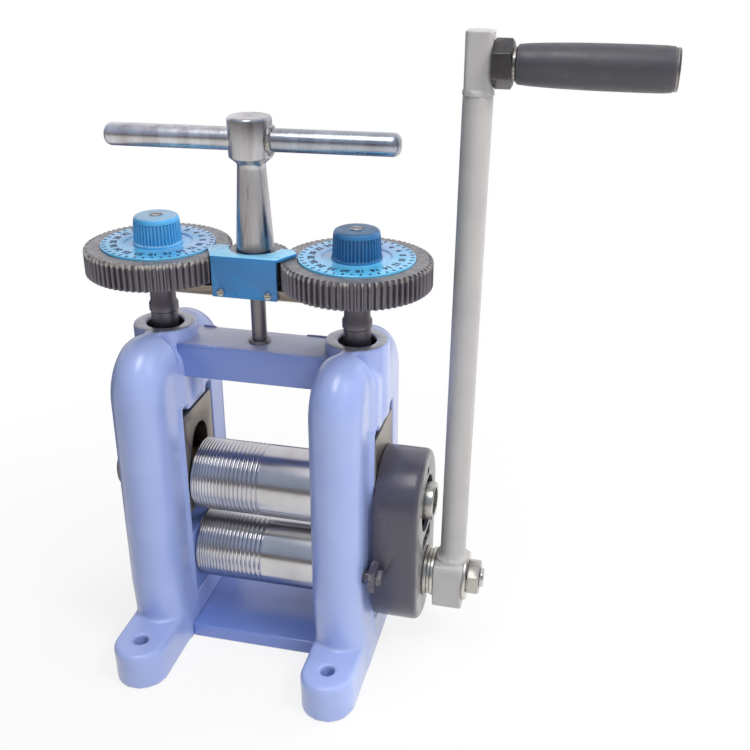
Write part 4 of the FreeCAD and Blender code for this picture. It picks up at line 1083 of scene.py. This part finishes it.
def tee_handle():
    """Tapered sleeve, cross cap and bar, with weld run round one side of the bar."""
    profile = [(5.5, 317.4), (13.5, 317.4), (13.8, 317.8), (13.8, 319.2), (13.4, 320.4)]
    profile += [(13.4 - 3.5 * i / 8.0, 320.4 + 56.0 * i / 8.0) for i in range(1, 9)]
    profile += [(9.85, 378.8), (10.3, 380.2), (15.0, 384.2), (15.2, 384.9), (15.2, 409.2), (14.9, 410.3),
                (14.2, 411.1), (13.4, 411.4), (2.2, 411.4), (1.6, 411.1), (0.4, 409.9)]
    obj = turned("tee_sleeve", profile, sides=128)
    smooth(obj, 30.0)
    dress(obj, "tee_handle", "handle_chrome", ["handle_hub"])
    quarter = [math.radians(degrees) for degrees in range(0, 91, 15)]
    rounds = [(TEE_BAR - 5.0 * (1 - math.cos(a)), 98.0 + 5.0 * math.sin(a)) for a in quarter]
    ends = [(radius, -along) for radius, along in reversed(rounds)]
    middle = [(TEE_BAR, along) for along in (-60.0, -20.0, 20.0, 60.0)]
    bar = turned("tee_bar", ends + middle + rounds, sides=96)
    smooth(bar, 30.0)
    settle(bar, (0, 0, 0), "X")
    settle(bar, (0, 0, TEE_BAR_HEIGHT), "Z", TEE_TURN)
    dress(bar, "tee_handle", "handle_chrome", ["handle_bar"])
    run = bead("tee_weld", 8.6, 1.9, (0, 0, 0), "X", 2.6, 2.2)
    settle(run, (14.2, 0, 0))
    settle(run, (0, 0, TEE_BAR_HEIGHT), "Z", TEE_TURN)
    low = bead("low_run", 7.0, 1.5, (0, 0, 0), "X", 2.4, 2.0)
    settle(low, (13.6, 0, -3.5))
    settle(low, (0, 0, TEE_BAR_HEIGHT), "Z", TEE_TURN)
    weld = join("tee_weld", [run, low])
    skin(weld, 0.5, 2, 70.0)
    dress(weld, "tee_handle", "handle_chrome", (), FINISHES["fastener_zinc"])


centre_pieces()
bracket_screw_piece()
tee_handle()


# ---------------------------------------------------------------- floor, light, camera

WHITE = (1.0, 1.0, 1.0)
WORLD_LEVEL = 0.32
REAR_WALL = (0.94, 0.93, 0.96)
LEFT_WALL = (0.35, 0.37, 0.44)
WALL_TONES = ((0.0, (0.22, 0.19, 0.18)), (0.16, (0.18, 0.16, 0.16)), (0.27, (0.34, 0.39, 0.51)),
              (0.55, (0.39, 0.45, 0.58)), (0.80, (0.43, 0.48, 0.60)), (0.93, (0.60, 0.62, 0.70)),
              (1.0, (0.80, 0.80, 0.84)))
LAMP_TARGET = Vector((0, 0, 0.2))
# name, place, size, power, colour, and whether metal mirrors it
LAMPS = [
    ("key", (-0.05, -0.65, 1.75), (0.5, 0.75), 6.5, (1.0, 0.985, 0.96), True),
    ("high_right", (1.1, -0.5, 1.5), (0.6, 0.6), 14.0, (1.0, 0.99, 0.97), False),
    ("back_right", (1.2, 1.0, 1.1), (0.9, 0.9), 16.0, (1.0, 0.97, 0.96), False),
    ("ceiling", (0.0, 0.0, 1.9), (0.6, 0.6), 5.5, WHITE, False),
    ("front_fill", (0.9, -1.6, 0.8), (1.0, 0.9), 6.0, WHITE, False),
]
LENS, SENSOR = 48.15, 36.0
CAMERA_PLACE = Vector((0.2371, -0.6430, 0.5378))
CAMERA_VIEW = Vector((-0.20585, 0.88255, -0.42276))
CAMERA_ROLL = math.radians(0.23)


def floor():
    """Pale floor: white to the camera away from the object, half bright in metal and dim there to the
    left and behind, and giving little light back on the left."""
    clear_selection()
    bpy.ops.mesh.primitive_plane_add(size=12.0, location=(0, 0, -0.0002))
    plane = bpy.context.object
    plane.name = "studio_floor"
    f = Finish("studio_floor", 0.0, 0.9)
    rays = f.add("ShaderNodeLightPath").outputs
    pale = f.mottled((0.86, 0.85, 0.84), (0.84, 0.835, 0.83), 3.0)
    bounce = f.both(rays["Is Diffuse Ray"], f.between(f.along(0), -0.08, -0.2))
    f.colour(f.blend(bounce, pale, (0.2, 0.2, 0.23)))
    glow = f.add("ShaderNodeEmission", {"Color": (1, 1, 1, 1), "Strength": 1.0})
    mix = f.add("ShaderNodeMixShader")
    away = f.add("ShaderNodeVectorMath", {"Vector": f.place}, operation="LENGTH").outputs["Value"]
    share = f.between(away, 0.12, 0.5, 0.8, 1.0)
    seen = f.both(rays["Is Camera Ray"], share)
    dim = f.both(f.between(f.along(0), -0.02, 0.1, 1.0, 0.0), f.between(f.along(1), -0.02, 0.06))
    dim = f.both(rays["Is Glossy Ray"], dim)
    f.feed(glow.inputs["Color"], f.blend(dim, WHITE, (0.16, 0.18, 0.28)))
    gloss = f.math("MAXIMUM", f.both(rays["Is Glossy Ray"], 0.45), dim)
    f.feed(mix.inputs[0], f.math("MAXIMUM", seen, gloss))
    f.tree.links.new(f.shader.outputs[0], mix.inputs[1])
    f.tree.links.new(glow.outputs[0], mix.inputs[2])
    output = next(n for n in f.tree.nodes if n.type == "OUTPUT_MATERIAL")
    f.tree.links.new(mix.outputs[0], output.inputs["Surface"])
    plane.data.materials.append(f.mat)


def surroundings():
    """White to the camera; metal mirrors blue-grey walls, a bright one behind and a low dark skirting,
    and the soft light is weakest from the left."""
    world = bpy.data.worlds.new("studio")
    bpy.context.scene.world = world
    f = Nodes(world)
    rays = f.add("ShaderNodeLightPath").outputs
    way = f.add("ShaderNodeTexCoord").outputs["Generated"]
    split = f.add("ShaderNodeSeparateXYZ", {"Vector": way}).outputs
    walls = f.add("ShaderNodeValToRGB", {"Fac": split["Z"]})
    stops = walls.color_ramp.elements
    while len(stops) < len(WALL_TONES):
        stops.new(0.5)
    for element, (place, colour) in zip(stops, WALL_TONES):
        element.position = place
        element.color = (*colour, 1.0)
    mirrored = f.blend(f.between(split["Y"], 0.15, 0.55), walls.outputs["Color"], REAR_WALL)
    soft = f.blend(f.between(split["X"], 0.0, -0.5), WHITE, LEFT_WALL)
    shine = f.math("MAXIMUM", rays["Is Glossy Ray"], rays["Is Transmission Ray"])
    back = f.tree.nodes["Background"]
    f.feed(back.inputs["Color"], f.blend(rays["Is Camera Ray"], f.blend(shine, soft, mirrored), WHITE))
    seen = f.math("MAXIMUM", rays["Is Camera Ray"], shine)
    f.feed(back.inputs["Strength"], f.between(seen, 0.0, 1.0, WORLD_LEVEL, 1.0))


def lamp(name, place, size, power, colour, mirrored):
    clear_selection()
    bpy.ops.object.light_add(type="AREA", location=place)
    light = bpy.context.object
    light.name = name
    light.data.shape = "RECTANGLE"
    light.data.size, light.data.size_y = size
    light.data.energy = power
    light.data.color = colour
    aim = LAMP_TARGET - Vector(place)
    light.rotation_euler = aim.to_track_quat("-Z", "Y").to_euler()
    light.visible_glossy = mirrored


def camera():
    clear_selection()
    bpy.ops.object.camera_add(location=CAMERA_PLACE)
    cam = bpy.context.object
    turn = CAMERA_VIEW.to_track_quat("-Z", "Y").to_matrix() @ Matrix.Rotation(CAMERA_ROLL, 3, "Z")
    cam.rotation_euler = turn.to_euler()
    cam.data.lens = LENS
    cam.data.sensor_width = SENSOR
    bpy.context.scene.camera = cam


floor()
surroundings()
for lamp_row in LAMPS:
    lamp(*lamp_row)
camera()
bpy.context.scene.view_settings.view_transform = "Standard"
